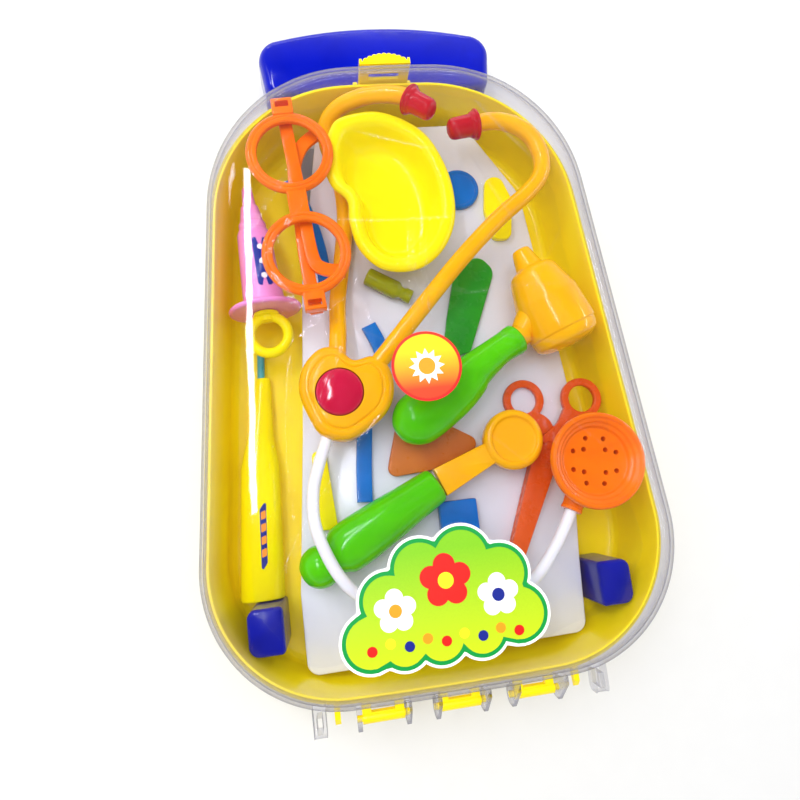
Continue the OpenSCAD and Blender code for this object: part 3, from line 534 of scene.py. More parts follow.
@dataclass(frozen=True)
class MouldedPlastic(Finish):
    """Coloured plastic from an injection mould.

    The eye sees a clean strong colour with faint flow marks where the melt met, a skin
    with shallow ripples, and a gloss that is a little uneven from handling.

    Attributes:
        colour: The pigment's colour.
        deep: Its colour where pigment gathers along the flow.
        roughness: Middle roughness of the skin.
        ior: Index of refraction of the plastic.
        flow_mm: Spacing of the flow marks.
        skin_mm: Width of the skin's ripples.
        skin_height_mm: Height of those ripples.
        glow: How much light spreads below the skin, as in waxy polyethylene.
        painted_glow: Strength of a faint emission in the pigment's own colour; painted light, a
            glow that stands in for outside light shining across a thin wall.
    """

    colour: str
    deep: str
    roughness: float = 0.22
    ior: float = 1.51
    flow_mm: float = 34.0
    skin_mm: float = 3.5
    skin_height_mm: float = 0.008
    glow: float = 0.0
    painted_glow: float = 0.0

    def build(self) -> bpy.types.Material:
        """Makes the material with flow marks in its colour and ripples in its skin.

        Returns:
            The material.
        """
        made, tree, place = new_tree(self.name)
        flow = add_node(tree, "ShaderNodeTexNoise", {
            "Vector": place, "Scale": 1 / (self.flow_mm * MM), "Detail": 2.0, "Distortion": 1.2})
        share = add_node(tree, "ShaderNodeMapRange", {
            "Value": flow.outputs["Fac"], "From Min": 0.35, "From Max": 0.75})
        colour = add_node(tree, "ShaderNodeMix", {
            "Factor": share.outputs[0], COLOUR_A: linear(self.colour), COLOUR_B: linear(self.deep)},
            data_type="RGBA")
        wear = add_node(tree, "ShaderNodeTexNoise", {
            "Vector": place, "Scale": 1 / (9 * MM), "Detail": 5.0, "Roughness": 0.6})
        rough = add_node(tree, "ShaderNodeMapRange", {
            "Value": wear.outputs["Fac"], "From Min": 0.3, "From Max": 0.7,
            "To Min": self.roughness * 0.8, "To Max": self.roughness * 1.3})
        skin = add_node(tree, "ShaderNodeTexNoise", {
            "Vector": place, "Scale": 1 / (self.skin_mm * MM), "Detail": 3.0})
        bump = add_node(tree, "ShaderNodeBump", {
            "Height": skin.outputs["Fac"], "Distance": self.skin_height_mm * MM, "Strength": 1.0})
        # The emission in the pigment's own colour is painted light: a faint glow that stands in for
        # outside light shining across a thin wall.
        surface = add_node(tree, "ShaderNodeBsdfPrincipled", {
            "Base Color": colour.outputs[2], "Roughness": rough.outputs[0], "IOR": self.ior,
            "Normal": bump.outputs["Normal"], "Subsurface Weight": self.glow,
            "Subsurface Radius": (1.0, 0.7, 0.5), "Subsurface Scale": 1.2 * MM,
            "Emission Color": linear(self.colour), "Emission Strength": self.painted_glow})
        add_node(tree, "ShaderNodeOutputMaterial", {"Surface": surface.outputs[0]})
        return made


@dataclass(frozen=True)
class ClearPolystyrene(Finish):
    """Clear injection-moulded polystyrene, about 2 mm thick.

    The eye sees through it almost without tint where it faces the eye, and meets a milky
    lavender veil and strong reflections where it curves away.

    Attributes:
        tint: Colour that what is behind takes on.
        veil: Colour of the milky edge.
        ior: Index of refraction of polystyrene.
        veil_flat: Share of the veil on a wall seen square on.
        veil_edge: Share of the veil on a wall seen edge on.
    """

    tint: str = "#fdfdff"
    veil: str = "#b2b3ca"
    ior: float = 1.59
    veil_flat: float = 0.0
    veil_edge: float = 0.5

    def build(self) -> bpy.types.Material:
        """Makes the material as clear and milky shares below a sharp reflecting skin.

        Returns:
            The material.
        """
        made, tree, place = new_tree(self.name)
        facing = add_node(tree, "ShaderNodeLayerWeight", {"Blend": 0.5}).outputs["Facing"]
        square = ((self.ior - 1) / (self.ior + 1)) ** 2
        edge = add_node(tree, "ShaderNodeMath", {0: facing, 1: 5.0}, operation="POWER")
        mirror = add_node(tree, "ShaderNodeMapRange", {
            "Value": edge.outputs[0], "To Min": square, "To Max": 1.0})
        slope = add_node(tree, "ShaderNodeMath", {0: facing, 1: 2.8}, operation="POWER")
        milk = add_node(tree, "ShaderNodeMapRange", {
            "Value": slope.outputs[0], "To Min": self.veil_flat, "To Max": self.veil_edge})
        ripple = add_node(tree, "ShaderNodeTexNoise", {
            "Vector": place, "Scale": 1 / (26 * MM), "Detail": 2.0})
        bump = add_node(tree, "ShaderNodeBump", {
            "Height": ripple.outputs["Fac"], "Distance": 0.12 * MM, "Strength": 1.0})
        clear = add_node(tree, "ShaderNodeBsdfTransparent", {"Color": linear(self.tint)})
        white = add_node(tree, "ShaderNodeBsdfDiffuse", {"Color": linear(self.veil)})
        body = add_node(tree, "ShaderNodeMixShader", {
            0: milk.outputs[0], 1: clear.outputs[0], 2: white.outputs[0]})
        gloss = add_node(tree, "ShaderNodeBsdfAnisotropic", {
            "Color": linear("#a8a8b0"), "Roughness": 0.04, "Normal": bump.outputs["Normal"]})
        seen = add_node(tree, "ShaderNodeMixShader", {
            0: mirror.outputs[0], 1: body.outputs[0], 2: gloss.outputs[0]})
        # Light on its way to what lies inside passes freely, as it does through thin walls.
        path = add_node(tree, "ShaderNodeLightPath", {})
        passing = add_node(tree, "ShaderNodeMath", {
            0: path.outputs["Is Shadow Ray"], 1: path.outputs["Is Diffuse Ray"]},
            operation="MAXIMUM")
        open_way = add_node(tree, "ShaderNodeBsdfTransparent", {"Color": linear("#f9f9fc")})
        surface = add_node(tree, "ShaderNodeMixShader", {
            0: passing.outputs[0], 1: seen.outputs[0], 2: open_way.outputs[0]})
        add_node(tree, "ShaderNodeOutputMaterial", {"Surface": surface.outputs[0]})
        return made


@dataclass(frozen=True)
class ClearFilm(Finish):
    """Thin clear polypropylene film, blown and folded into a bag.

    The eye hardly sees it where it is smooth, and meets bright lines at its creases.

    Attributes:
        gloss_flat: Share of the gloss on film seen square on.
    """

    gloss_flat: float = 0.015

    def build(self) -> bpy.types.Material:
        """Makes the material as a clear film with a sharp gloss.

        Returns:
            The material.
        """
        made, tree, place = new_tree(self.name)
        facing = add_node(tree, "ShaderNodeLayerWeight", {"Blend": 0.5}).outputs["Facing"]
        slope = add_node(tree, "ShaderNodeMath", {0: facing, 1: 3.0}, operation="POWER")
        gloss_share = add_node(tree, "ShaderNodeMapRange", {
            "Value": slope.outputs[0], "To Min": self.gloss_flat, "To Max": 1.0})
        # Creases finer than a pixel are drawn at 9 mm.
        crease = add_node(tree, "ShaderNodeTexNoise", {
            "Vector": place, "Scale": 1 / (9 * MM), "Detail": 3.0, "Distortion": 1.5})
        bump = add_node(tree, "ShaderNodeBump", {
            "Height": crease.outputs["Fac"], "Distance": 0.28 * MM, "Strength": 1.0})
        clear = add_node(tree, "ShaderNodeBsdfTransparent", {"Color": linear("#fefeff")})
        gloss = add_node(tree, "ShaderNodeBsdfAnisotropic", {
            "Color": linear("#f4f4f8"), "Roughness": 0.08, "Normal": bump.outputs["Normal"]})
        seen = add_node(tree, "ShaderNodeMixShader", {
            0: gloss_share.outputs[0], 1: clear.outputs[0], 2: gloss.outputs[0]})
        path = add_node(tree, "ShaderNodeLightPath", {})
        passing = add_node(tree, "ShaderNodeMath", {
            0: path.outputs["Is Shadow Ray"], 1: path.outputs["Is Diffuse Ray"]},
            operation="MAXIMUM")
        surface = add_node(tree, "ShaderNodeMixShader", {
            0: passing.outputs[0], 1: seen.outputs[0], 2: clear.outputs[0]})
        add_node(tree, "ShaderNodeOutputMaterial", {"Surface": surface.outputs[0]})
        return made


@dataclass(frozen=True)
class FormedSheet(Finish):
    """Pale polystyrene sheet, drawn by vacuum over a mould.

    The eye sees a smooth glossy grey whose reflections wander, because the sheet is
    stretched unevenly.

    Attributes:
        colour: The sheet's colour.
        deep: Its colour where it is thicker.
    """

    colour: str
    deep: str

    def build(self) -> bpy.types.Material:
        """Makes the material with broad waves and a clear gloss.

        Returns:
            The material.
        """
        made, tree, place = new_tree(self.name)
        wave = add_node(tree, "ShaderNodeTexNoise", {
            "Vector": place, "Scale": 1 / (38 * MM), "Detail": 2.0, "Distortion": 0.6})
        colour = add_node(tree, "ShaderNodeMix", {
            "Factor": wave.outputs["Fac"], COLOUR_A: linear(self.colour),
            COLOUR_B: linear(self.deep)}, data_type="RGBA")
        bump = add_node(tree, "ShaderNodeBump", {
            "Height": wave.outputs["Fac"], "Distance": 1.1 * MM, "Strength": 1.0})
        dust = add_node(tree, "ShaderNodeTexNoise", {
            "Vector": place, "Scale": 1 / (4 * MM), "Detail": 4.0})
        rough = add_node(tree, "ShaderNodeMapRange", {
            "Value": dust.outputs["Fac"], "To Min": 0.1, "To Max": 0.24})
        surface = add_node(tree, "ShaderNodeBsdfPrincipled", {
            "Base Color": colour.outputs[2], "Roughness": rough.outputs[0], "IOR": 1.59,
            "Normal": bump.outputs["Normal"]})
        add_node(tree, "ShaderNodeOutputMaterial", {"Surface": surface.outputs[0]})
        return made


@dataclass(frozen=True)
class DrawnSteel(Finish):
    """Bright steel wire and pins, drawn through a die, with fine lines along X."""

    colour: str = "#c4c8cc"

    def build(self) -> bpy.types.Material:
        """Makes the material with drawing lines 0.3 mm apart in its roughness and bump.

        Returns:
            The material.
        """
        made, tree, place = new_tree(self.name)
        stretched = add_node(tree, "ShaderNodeMapping", {"Vector": place, "Scale": (0.05, 1, 1)})
        lines = add_node(tree, "ShaderNodeTexNoise", {
            "Vector": stretched.outputs[0], "Scale": 1 / (0.3 * MM), "Detail": 2.0})
        rough = add_node(tree, "ShaderNodeMapRange", {
            "Value": lines.outputs["Fac"], "To Min": 0.18, "To Max": 0.4})
        bump = add_node(tree, "ShaderNodeBump", {
            "Height": lines.outputs["Fac"], "Distance": 0.01 * MM, "Strength": 1.0})
        surface = add_node(tree, "ShaderNodeBsdfPrincipled", {
            "Base Color": linear(self.colour), "Metallic": 1.0, "Roughness": rough.outputs[0],
            "Normal": bump.outputs["Normal"]})
        add_node(tree, "ShaderNodeOutputMaterial", {"Surface": surface.outputs[0]})
        return made


@dataclass(frozen=True)
class PrintedFilm(Finish):
    """Ink on a self-adhesive film under a clear laminate.

    The eye sees an even, saturated print with a fine ink grain, and a soft gloss.

    Attributes:
        colour: The ink's colour at the bottom of the print.
        top: Its colour at the top of the print.
        low_y: Where the colour starts to change, along Y.
        high_y: Where it has changed.
    """

    colour: str
    top: str
    low_y: float = 0.0
    high_y: float = 1.0

    def build(self) -> bpy.types.Material:
        """Makes the material with the blend along Y and the ink's grain.

        Returns:
            The material.
        """
        made, tree, place = new_tree(self.name)
        parts = add_node(tree, "ShaderNodeSeparateXYZ", {0: place})
        share = add_node(tree, "ShaderNodeMapRange", {
            "Value": parts.outputs[1], "From Min": self.low_y * MM, "From Max": self.high_y * MM})
        blend = add_node(tree, "ShaderNodeMix", {
            "Factor": share.outputs[0], COLOUR_A: linear(self.colour), COLOUR_B: linear(self.top)},
            data_type="RGBA")
        # Ink grain is finer than a pixel here, so it is drawn at 0.8 mm.
        grain = add_node(tree, "ShaderNodeTexNoise", {
            "Vector": place, "Scale": 1 / (0.8 * MM), "Detail": 2.0})
        shade = add_node(tree, "ShaderNodeMapRange", {
            "Value": grain.outputs["Fac"], "To Min": 0.94, "To Max": 1.06})
        ink = add_node(tree, "ShaderNodeHueSaturation", {
            "Value": shade.outputs[0], "Color": blend.outputs[2]})
        rough = add_node(tree, "ShaderNodeMapRange", {
            "Value": grain.outputs["Fac"], "To Min": 0.3, "To Max": 0.42})
        surface = add_node(tree, "ShaderNodeBsdfPrincipled", {
            "Base Color": ink.outputs[0], "Roughness": rough.outputs[0], "IOR": 1.5})
        add_node(tree, "ShaderNodeOutputMaterial", {"Surface": surface.outputs[0]})
        return made


# The base carries a small emission in its own yellow: painted light, a faint glow that brightens
# its shaded walls.
YELLOW_ABS = MouldedPlastic(
    "moulded_yellow_abs", "yellow_abs", "#ffe600", "#fadc00", 0.2, 1.54, painted_glow=0.04)
CLEAR_PS = ClearPolystyrene("moulded_clear_polystyrene", "clear_ps")
BAG_FILM = ClearFilm("blown_clear_polypropylene_film", "clear_ps")
BLUE_PP = MouldedPlastic("moulded_blue_polypropylene", "blue_pp", "#0012b2", "#000ea2", 0.1, 1.49)
DARK_BLUE_PP = MouldedPlastic(
    "moulded_dark_blue_polypropylene", "dark_blue_pp", "#0a149a", "#080f86", 0.2, 1.49)
GREY_ROD = MouldedPlastic("moulded_grey_abs", "grey_rod", "#c3c7cc", "#b4b9bf", 0.34, 1.54)
GREY_GUIDE = MouldedPlastic("moulded_guide_abs", "grey_guide", "#8f949b", "#7f848b", 0.4, 1.54)
BLACK_WHEEL = MouldedPlastic(
    "moulded_wheel_polypropylene", "black_wheel", "#2a2f36", "#20242a", 0.42, 1.49,
    skin_mm=1.2, skin_height_mm=0.05)
STEEL = DrawnSteel("drawn_steel", "steel_pin")
TRAY_SHEET = FormedSheet("formed_polystyrene_sheet", "tray_sheet", "#e9ebef", "#dcdfe4")
AMBER_PE = MouldedPlastic(
    "moulded_amber_polyethylene", "amber_pe", "#ffbc00", "#fdb000", 0.13, glow=0.06)
RED_PE = MouldedPlastic("moulded_red_polyethylene", "red_pe", "#cc0a1e", "#b80618", 0.14, glow=0.08)
CRIMSON_PS = MouldedPlastic(
    "moulded_crimson_polystyrene", "red_pe", "#d61642", "#c60e38", 0.08, 1.59, glow=0.1)
ORANGE_PE = MouldedPlastic(
    "moulded_orange_polyethylene", "orange_pe", "#ff7a00", "#f86c00", 0.14, glow=0.06)
SCISSORS_PE = MouldedPlastic(
    "moulded_tan_orange_polyethylene", "orange_pe", "#e2590c", "#d44e06", 0.26, glow=0.08)
# The bright yellow pieces carry a small emission in their own yellow: painted light, a faint glow
# that brightens them.
YELLOW_PE = MouldedPlastic(
    "moulded_yellow_polyethylene", "bright_yellow_pe", "#fff000", "#ffe800", 0.1, glow=0.08,
    painted_glow=0.03)
GREEN_PE = MouldedPlastic(
    "moulded_green_polyethylene", "green_pe", "#58cf00", "#4abc00", 0.12, glow=0.06)
LEAF_PE = MouldedPlastic(
    "moulded_leaf_green_polyethylene", "green_pe", "#2aa01e", "#1f8f1a", 0.25, glow=0.05)
PINK_PE = MouldedPlastic(
    "moulded_pink_polyethylene", "pink_pe", "#f5a0dc", "#ee8fd0", 0.2, glow=0.1)
TEAL_PE = MouldedPlastic("moulded_teal_polyethylene", "teal_pe", "#58b3c4", "#3ba0b4", 0.3)
BLUE_PE = MouldedPlastic(
    "moulded_blue_polyethylene", "bright_blue_pe", "#0a74cc", "#0864b4", 0.2)
OLIVE_PE = MouldedPlastic("moulded_olive_polyethylene", "olive_pe", "#a8b012", "#949c0a", 0.16)
BROWN_PE = MouldedPlastic(
    "moulded_brown_orange_polyethylene", "brown_orange_pe", "#d47420", "#c06214", 0.3)
WHITE_PVC = MouldedPlastic(
    "extruded_white_soft_pvc", "white_pvc", "#f8f8f8", "#f0f0f0", 0.3, 1.53,
    flow_mm=18, skin_mm=1.5, skin_height_mm=0.02, glow=0.15)
NAVY_FILM = PrintedFilm("printed_navy_film", "bright_blue_pe", "#13248c", "#18309c")
WHITE_FILM = PrintedFilm("printed_white_film", "white_pvc", "#f8f8f8", "#ffffff")
RED_FILM = PrintedFilm("printed_red_film", "red_pe", "#e0140c", "#ee2a10")
GREEN_FILM = PrintedFilm("printed_green_film", "green_pe", "#009840", "#06a348")
LIME_FILM = PrintedFilm("printed_lime_film", "green_pe", "#c8dc10", "#7fc414", -150, -100)
ORANGE_FILM = PrintedFilm("printed_orange_film", "orange_pe", "#ff9a10", "#f4761a")
SUN_FILM = PrintedFilm("printed_sun_film", "bright_yellow_pe", "#ff3c10", "#ffd800", -20, 2)
YELLOW_FILM = PrintedFilm("printed_yellow_film", "bright_yellow_pe", "#fff014", "#ffe60a")


# ---------- making pieces ----------


@dataclass
class SubAssembly:
    """A group of pieces that are built and dressed together."""

    def dress(
        self,
        piece: bpy.types.Object,
        finish: Finish,
        body: Body,
        nodes: tuple[str, ...] = (),
        smooth: float = 38.0,
    ) -> bpy.types.Object:
        """Gives a piece its finish, its shading and the body it rides on.

        Args:
            piece: The object.
            finish: What its surface is.
            body: The body that it moves with.
            nodes: CAD nodes that it stands for.
            smooth: Edges sharper than this angle in degrees stay sharp.

        Returns:
            The same object.
        """
        if piece.type == "MESH":
            for face in piece.data.polygons:
                face.use_smooth = True
            piece.data.set_sharp_from_angle(angle=math.radians(smooth))
        piece.data.materials.clear()
        piece.data.materials.append(finish.material())
        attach(piece, body.value)
        if nodes:
            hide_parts(*nodes)
        log.info("%s: %s, rides on %s", piece.name, finish.name, body.value)
        return piece

    def make(
        self,
        name: str,
        shells: list[Shell],
        finish: Finish,
        body: Body = Body.CASE,
        nodes: tuple[str, ...] = (),
        cuts: tuple[Shell, ...] = (),
        limits: tuple[Shell, ...] = (),
    ) -> bpy.types.Object:
        """Builds one solid piece and dresses it.

        Args:
            name: Name of the piece.
            shells: Surfaces that are joined.
            finish: What its surface is.
            body: The body that it moves with.
            nodes: CAD nodes that it stands for.
            cuts: Surfaces that are cut away.
            limits: Surfaces that it has to stay within.

        Returns:
            The object.
        """
        return self.dress(solid(name, shells, list(cuts), limits), finish, body, nodes)


def dress_node(node: str, finish: Finish) -> None:
    """Gives a CAD node that stays its finish, smooth shading and eased edges.

    Args:
        node: Name of the CAD node.
        finish: What its surface is.
    """
    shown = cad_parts[node]
    shown.data.materials.clear()
    shown.data.materials.append(finish.material())
    weld = shown.modifiers.new("weld", "WELD")
    weld.merge_threshold = 0.005 * MM
    edges = shown.modifiers.new("eased_edges", "BEVEL")
    edges.width, edges.segments = 0.3 * MM, 2
    edges.limit_method, edges.angle_limit = "ANGLE", math.radians(40)
    edges.harden_normals = True
    log.info("%s: %s, CAD node", node, finish.name)


# ---------- case ----------


@dataclass
class CasePlan:
    """The outline that the base, the lid and their fittings share."""

    length: float = 350.0
    low_radius: float = 72.0
    low_x: float = 54.0
    top_radius: float = 86.0
    top_x: float = 23.0
    low_bow: float = 2500.0
    top_bow: float = 700.0
    rim_z: float = 45.0

    @property
    def hinge_end(self) -> float:
        """Y of the hinge edge."""
        return -self.length / 2

    @property
    def latch_end(self) -> float:
        """Y of the latch edge."""
        return self.length / 2

    def outline(self, inset: float, count: int = 30) -> Array:
        """The case's outline drawn in from its edge.

        Args:
            inset: How far it is drawn in.
            count: Points in each corner.

        Returns:
            The anticlockwise outline.
        """
        low_mid = np.array([0, self.low_bow + self.hinge_end])
        top_mid = np.array([0, self.latch_end - self.top_bow])
        low = np.array([self.low_x, low_mid[1] - math.sqrt(
            (self.low_bow - self.low_radius) ** 2 - self.low_x**2)])
        top = np.array([self.top_x, top_mid[1] + math.sqrt(
            (self.top_bow - self.top_radius) ** 2 - self.top_x**2)])
        low_turn = math.degrees(math.atan2(low[1] - low_mid[1], low[0]))
        top_turn = math.degrees(math.atan2(top[1] - top_mid[1], top[0]))
        across = top - low
        flank = math.degrees(math.atan2(across[1], across[0])) - math.degrees(
            math.acos((self.low_radius - self.top_radius) / np.linalg.norm(across)))
        half = np.vstack([
            arc(tuple(low_mid), self.low_bow - inset, -90, low_turn, 9)[:-1],
            arc(tuple(low), self.low_radius - inset, low_turn, flank, count),
            arc(tuple(top), self.top_radius - inset, flank, top_turn, count)[:-1],
            arc(tuple(top_mid), self.top_bow - inset, top_turn, 90, 7),
        ])
        return np.vstack([half, half[-2:0:-1] * [-1, 1]])

    def shell(self, profile: Array) -> Shell:
        """A surface through outlines, from rows of inset and height."""
        return loft([lifted(self.outline(inset), z) for inset, z in profile])


@dataclass
class Base(SubAssembly):
    """The yellow base with its hinge knuckles, latch ears and ribs.

    Attributes:
        plan: The case's outline.
        knuckle_pitch: Distance between the middles of neighbouring knuckles.
        knuckle_width: Width of a knuckle.
        knuckle_radius: Its radius.
        hinge: Y and Z of the hinge axis.
        latch: Y and Z of the latch axis.
        ear_radius: Radius of the latch ears.
        ear_root: Y where the latch ears meet the wall.
        wheel: Middle of the right wheel.
        rod_x: X of the right rod.
    """

    plan: CasePlan = field(default_factory=CasePlan)
    knuckle_pitch: float = 40.5
    knuckle_width: float = 22.0
    knuckle_radius: float = 2.9
    hinge: tuple[float, float] = (-183.0, 42.0)
    latch: tuple[float, float] = (178.4, 36.6)
    ear_radius: float = 3.2
    ear_root: float = 171.4
    wheel: tuple[float, float, float] = (97.0, -134.7, 10.6)
    rod_x: float = 45.0

    def profile(self) -> Array:
        """Section of the wall, from the middle of the underside round to the floor."""
        p = self.plan
        return softened(points(
            (12, 0), (8.5, 0.6), (6, 2.4), (5, 6), (2.6, 41.5), (0, 41.5), (0, p.rim_z),
            (2.8, p.rim_z), (2.9, p.rim_z + 3), (4.1, p.rim_z + 3), (4.4, 41),
            (7.2, 7.5), (8.4, 4.4), (11, 2.6), (14, 2.2)), 0.8, 4)

    def knuckle(self, x: float) -> tuple[list[Shell], list[Shell]]:
        """One knuckle with its pins, and the window through it.

        Args:
            x: Its middle.

        Returns:
            What is joined and what is cut away.
        """
        y, z = self.hinge
        half, r = self.knuckle_width / 2, self.knuckle_radius
        reach = half + 2.8
        joined = [
            block((x - half, y, 40), (x + half, y + 10, 44), 0.6),
            pin(x - half, x + half, y, z, r),
            pin(x - reach, x + reach, y, z, 1.75),
        ]
        return joined, [block((x - 6.2, y + r, 30), (x + 6.2, y + r + 4, 50), 0.4)]

    def latch_ear(self, side: Side) -> Shell:
        """One of the two ears that the latch turns in.

        Args:
            side: Left or right.

        Returns:
            The ear.
        """
        (y, z), r, root = self.latch, self.ear_radius, self.ear_root
        outline = np.vstack([[(root, z - r), (y, z - r)], arc((y, z), r, -80, 80, 14),
                             [(y, z + r), (root, z + r)]])
        return across_x(outline, 15.4, 17.8, 0.3).on_side(side)

    def rib(self, side: Side) -> Shell:
        """A rib that carries the lid's foot beside the knuckles.

        Args:
            side: Left or right.

        Returns:
            The rib.
        """
        e, z, x = self.plan.hinge_end, self.plan.rim_z, self.knuckle_pitch + 23.5
        outline = points((e + 2.5, z - 5), (e - 9, z - 3), (e - 6, z - 0.5), (e + 2.5, z - 0.5))
        return across_x(outline, x - 1.5, x + 1.5, 0.4).on_side(side)

    def wheel_room(self, side: Side) -> list[Shell]:
        """The slot for a wheel and the bore for its axle."""
        x, y, z = self.wheel
        return [block((x - 6.7, y - 10.7, -1), (x + 6.7, y + 10.7, z + 10.7), 0.2).on_side(side),
                pin(x - 8.7, x + 8.7, y, z, 1.55).on_side(side)]

    def housing(self, side: Side) -> None:
        """Builds the blue box that closes the inside of the base over a wheel.

        Args:
            side: Left or right.
        """
        x, y, _ = self.wheel
        corners = points((x - 9.6, y - 12.3), (x + 9.6, y - 12.3), (x + 9.6, y + 12.3),
                         (x - 9.6, y + 12.3))
        outline = rounded(corners, [2.5, 6, 5, 2.5], 8)
        section = softened(points((0, 0), (0, 38), (0.5, 39.4), (1.7, 40)), 1.0, 4)
        body = loft([lifted(grown(outline, -inset), z) for inset, z in section]).on_side(side)
        room = self.plan.shell(points((11.1, 2.7), (7.3, 7.6), (4.5, 41.1)))
        hollow = block((x - 6.7, y - 10.7, -1), (x + 6.7, y + 10.7, 38.4), 0.3).on_side(side)
        self.make(f"wheel_cover_{side.name.lower()}", [body], DARK_BLUE_PP,
                  nodes=(f"wheel_housing_{side.name.lower()}",),
                  cuts=(hollow, self.wheel_room(side)[1]), limits=(room,))

    def build(self) -> None:
        """Builds the base as one piece, and the wheel covers in it."""
        joined, cuts = [self.plan.shell(self.profile())], []
        for x in (-self.knuckle_pitch, 0.0, self.knuckle_pitch):
            more, window = self.knuckle(x)
            joined += more
            cuts += window
        joined.append(block((-1.3, 168, 39.5), (1.3, 171.6, 48), 0.4))
        for side in Side:
            joined += [self.latch_ear(side), self.rib(side)]
            cuts += [*self.wheel_room(side), block(
                (self.rod_x - 7, 130, 6.1), (self.rod_x + 7, 190, 11.9), 0.2).on_side(side)]
        cuts.append(pin(-19, 19, *self.latch, 1.55))
        self.make("base", joined, YELLOW_ABS, nodes=("base_shell",), cuts=tuple(cuts))
        for side in Side:
            self.housing(side)


@dataclass
class Lid(SubAssembly):
    """The clear domed lid with hinge ears, feet and a latch nib."""

    base: Base = field(default_factory=Base)
    height: float = 31.0
    wall: float = 1.8
    dome_inset: float = 18.0
    crown: float = 1.6
    crown_width: float = 24.0
    dome_z: float = 52.0
    seat_z: float = 45.4

    @property
    def top(self) -> float:
        """Height of the flat top."""
        return self.base.plan.rim_z + self.height

    def profile(self) -> Array:
        """Section of the wall, from the inner top round to the outer top.

        Returns:
            Rows of inset and height.
        """
        outer, inner = [], []
        shoulder = self.top - self.crown
        for a in np.radians(np.linspace(0, 84, 16)):
            rise, fall = math.sin(a), math.cos(a)
            outer.append((self.dome_inset + 0.6 - self.dome_inset * fall,
                          self.dome_z + (shoulder - self.dome_z) * rise))
            inner.append((self.dome_inset + 0.6 - (self.dome_inset - self.wall) * fall,
                          self.dome_z + (shoulder - self.wall - self.dome_z) * rise))
        for t in np.linspace(0.2, 1, 9):
            rise = shoulder - 0.1 + (self.crown + 0.1) * math.sin(t * math.pi / 2)
            outer.append((self.dome_inset - 1.2 + self.crown_width * t, rise))
            inner.append((self.dome_inset - 1.0 + self.crown_width * t, rise - self.wall))
        rim = softened(points((2.4, self.dome_z - 1), (2.2, self.seat_z), (0.4, self.seat_z),
                              (0.4, self.seat_z + 3.4), (0.6, self.dome_z - 0.5)), 0.4, 3)
        return np.vstack([inner[::-1], rim[1:-1], outer])

    def surface(self, places: Array) -> Array:
        """Heights of the lid's outer face above the arch of its walls.

        Args:
            places: Rows of X and Y.

        Returns:
            One height a row.
        """
        edge = self.base.plan.outline(0)
        step = np.roll(edge, -1, axis=0) - edge
        edge = np.vstack([edge + step * t for t in (0, 0.25, 0.5, 0.75)])
        inset = np.linalg.norm(places[:, None] - edge[None], axis=2).min(axis=1)
        share = np.clip((inset - self.dome_inset + 1.2) / self.crown_width, 0, 1)
        return self.top - self.crown - 0.1 + (self.crown + 0.1) * np.sin(share * math.pi / 2)

    def ear(self, x: float) -> Shell:
        """One hinge ear.

        Args:
            x: Where it starts.

        Returns:
            The ear.
        """
        (y, z), e, seat = self.base.hinge, self.base.plan.hinge_end, self.seat_z + 0.6
        outline = np.vstack([
            arc((y, z), 5.0, 180, 355, 20),
            [(e - 1.2, seat), (e + 1.4, seat), (e + 2.4, self.dome_z + 8),
             (e - 2, self.dome_z + 8), (y - 5, seat)]])
        return across_x(outline, x, x + 2.4, 0.3)

    def foot(self, side: Side) -> tuple[Shell, Shell]:
        """One slotted foot that the closed case stands on, and its slot.

        Args:
            side: Left or right.

        Returns:
            What is joined and what is cut away.
        """
        e = self.base.plan.hinge_end
        outline = rounded(points((e + 5.1, 49.5), (e + 5.1, 58), (e - 9.4, 58), (e - 9.4, 47.5)),
                          [0.4, 0.4, 3, 3])
        body = across_x(outline[::-1], 69.4, 75.8, 0.4).on_side(side)
        return body, block((71.2, e - 7, 45), (74, e + 0.6, 75), 0.3).on_side(side)

    def build(self) -> None:
        """Builds the lid as one clear piece."""
        joined, cuts = [self.base.plan.shell(self.profile())], []
        for x in (-self.base.knuckle_pitch, 0.0, self.base.knuckle_pitch):
            reach = self.base.knuckle_width / 2 + 0.4
            joined += [self.ear(x + reach), self.ear(x - reach - 2.4)]
        for side in Side:
            body, slot = self.foot(side)
            joined.append(body)
            cuts.append(slot)
            joined.append(block((19.2, 173.4, 46), (20.8, 175.2, 58), 0.3).on_side(side))
        cuts.append(pin(-70, 70, *self.base.hinge, 1.8))
        joined.append(across_x(points((173.8, 47.8), (175.5, 48.6), (175.5, 50), (173.8, 51.2)),
                               -7, 7, 0.2))
        self.make("lid_cover", joined, CLEAR_PS, Body.LID, ("lid",), tuple(cuts))


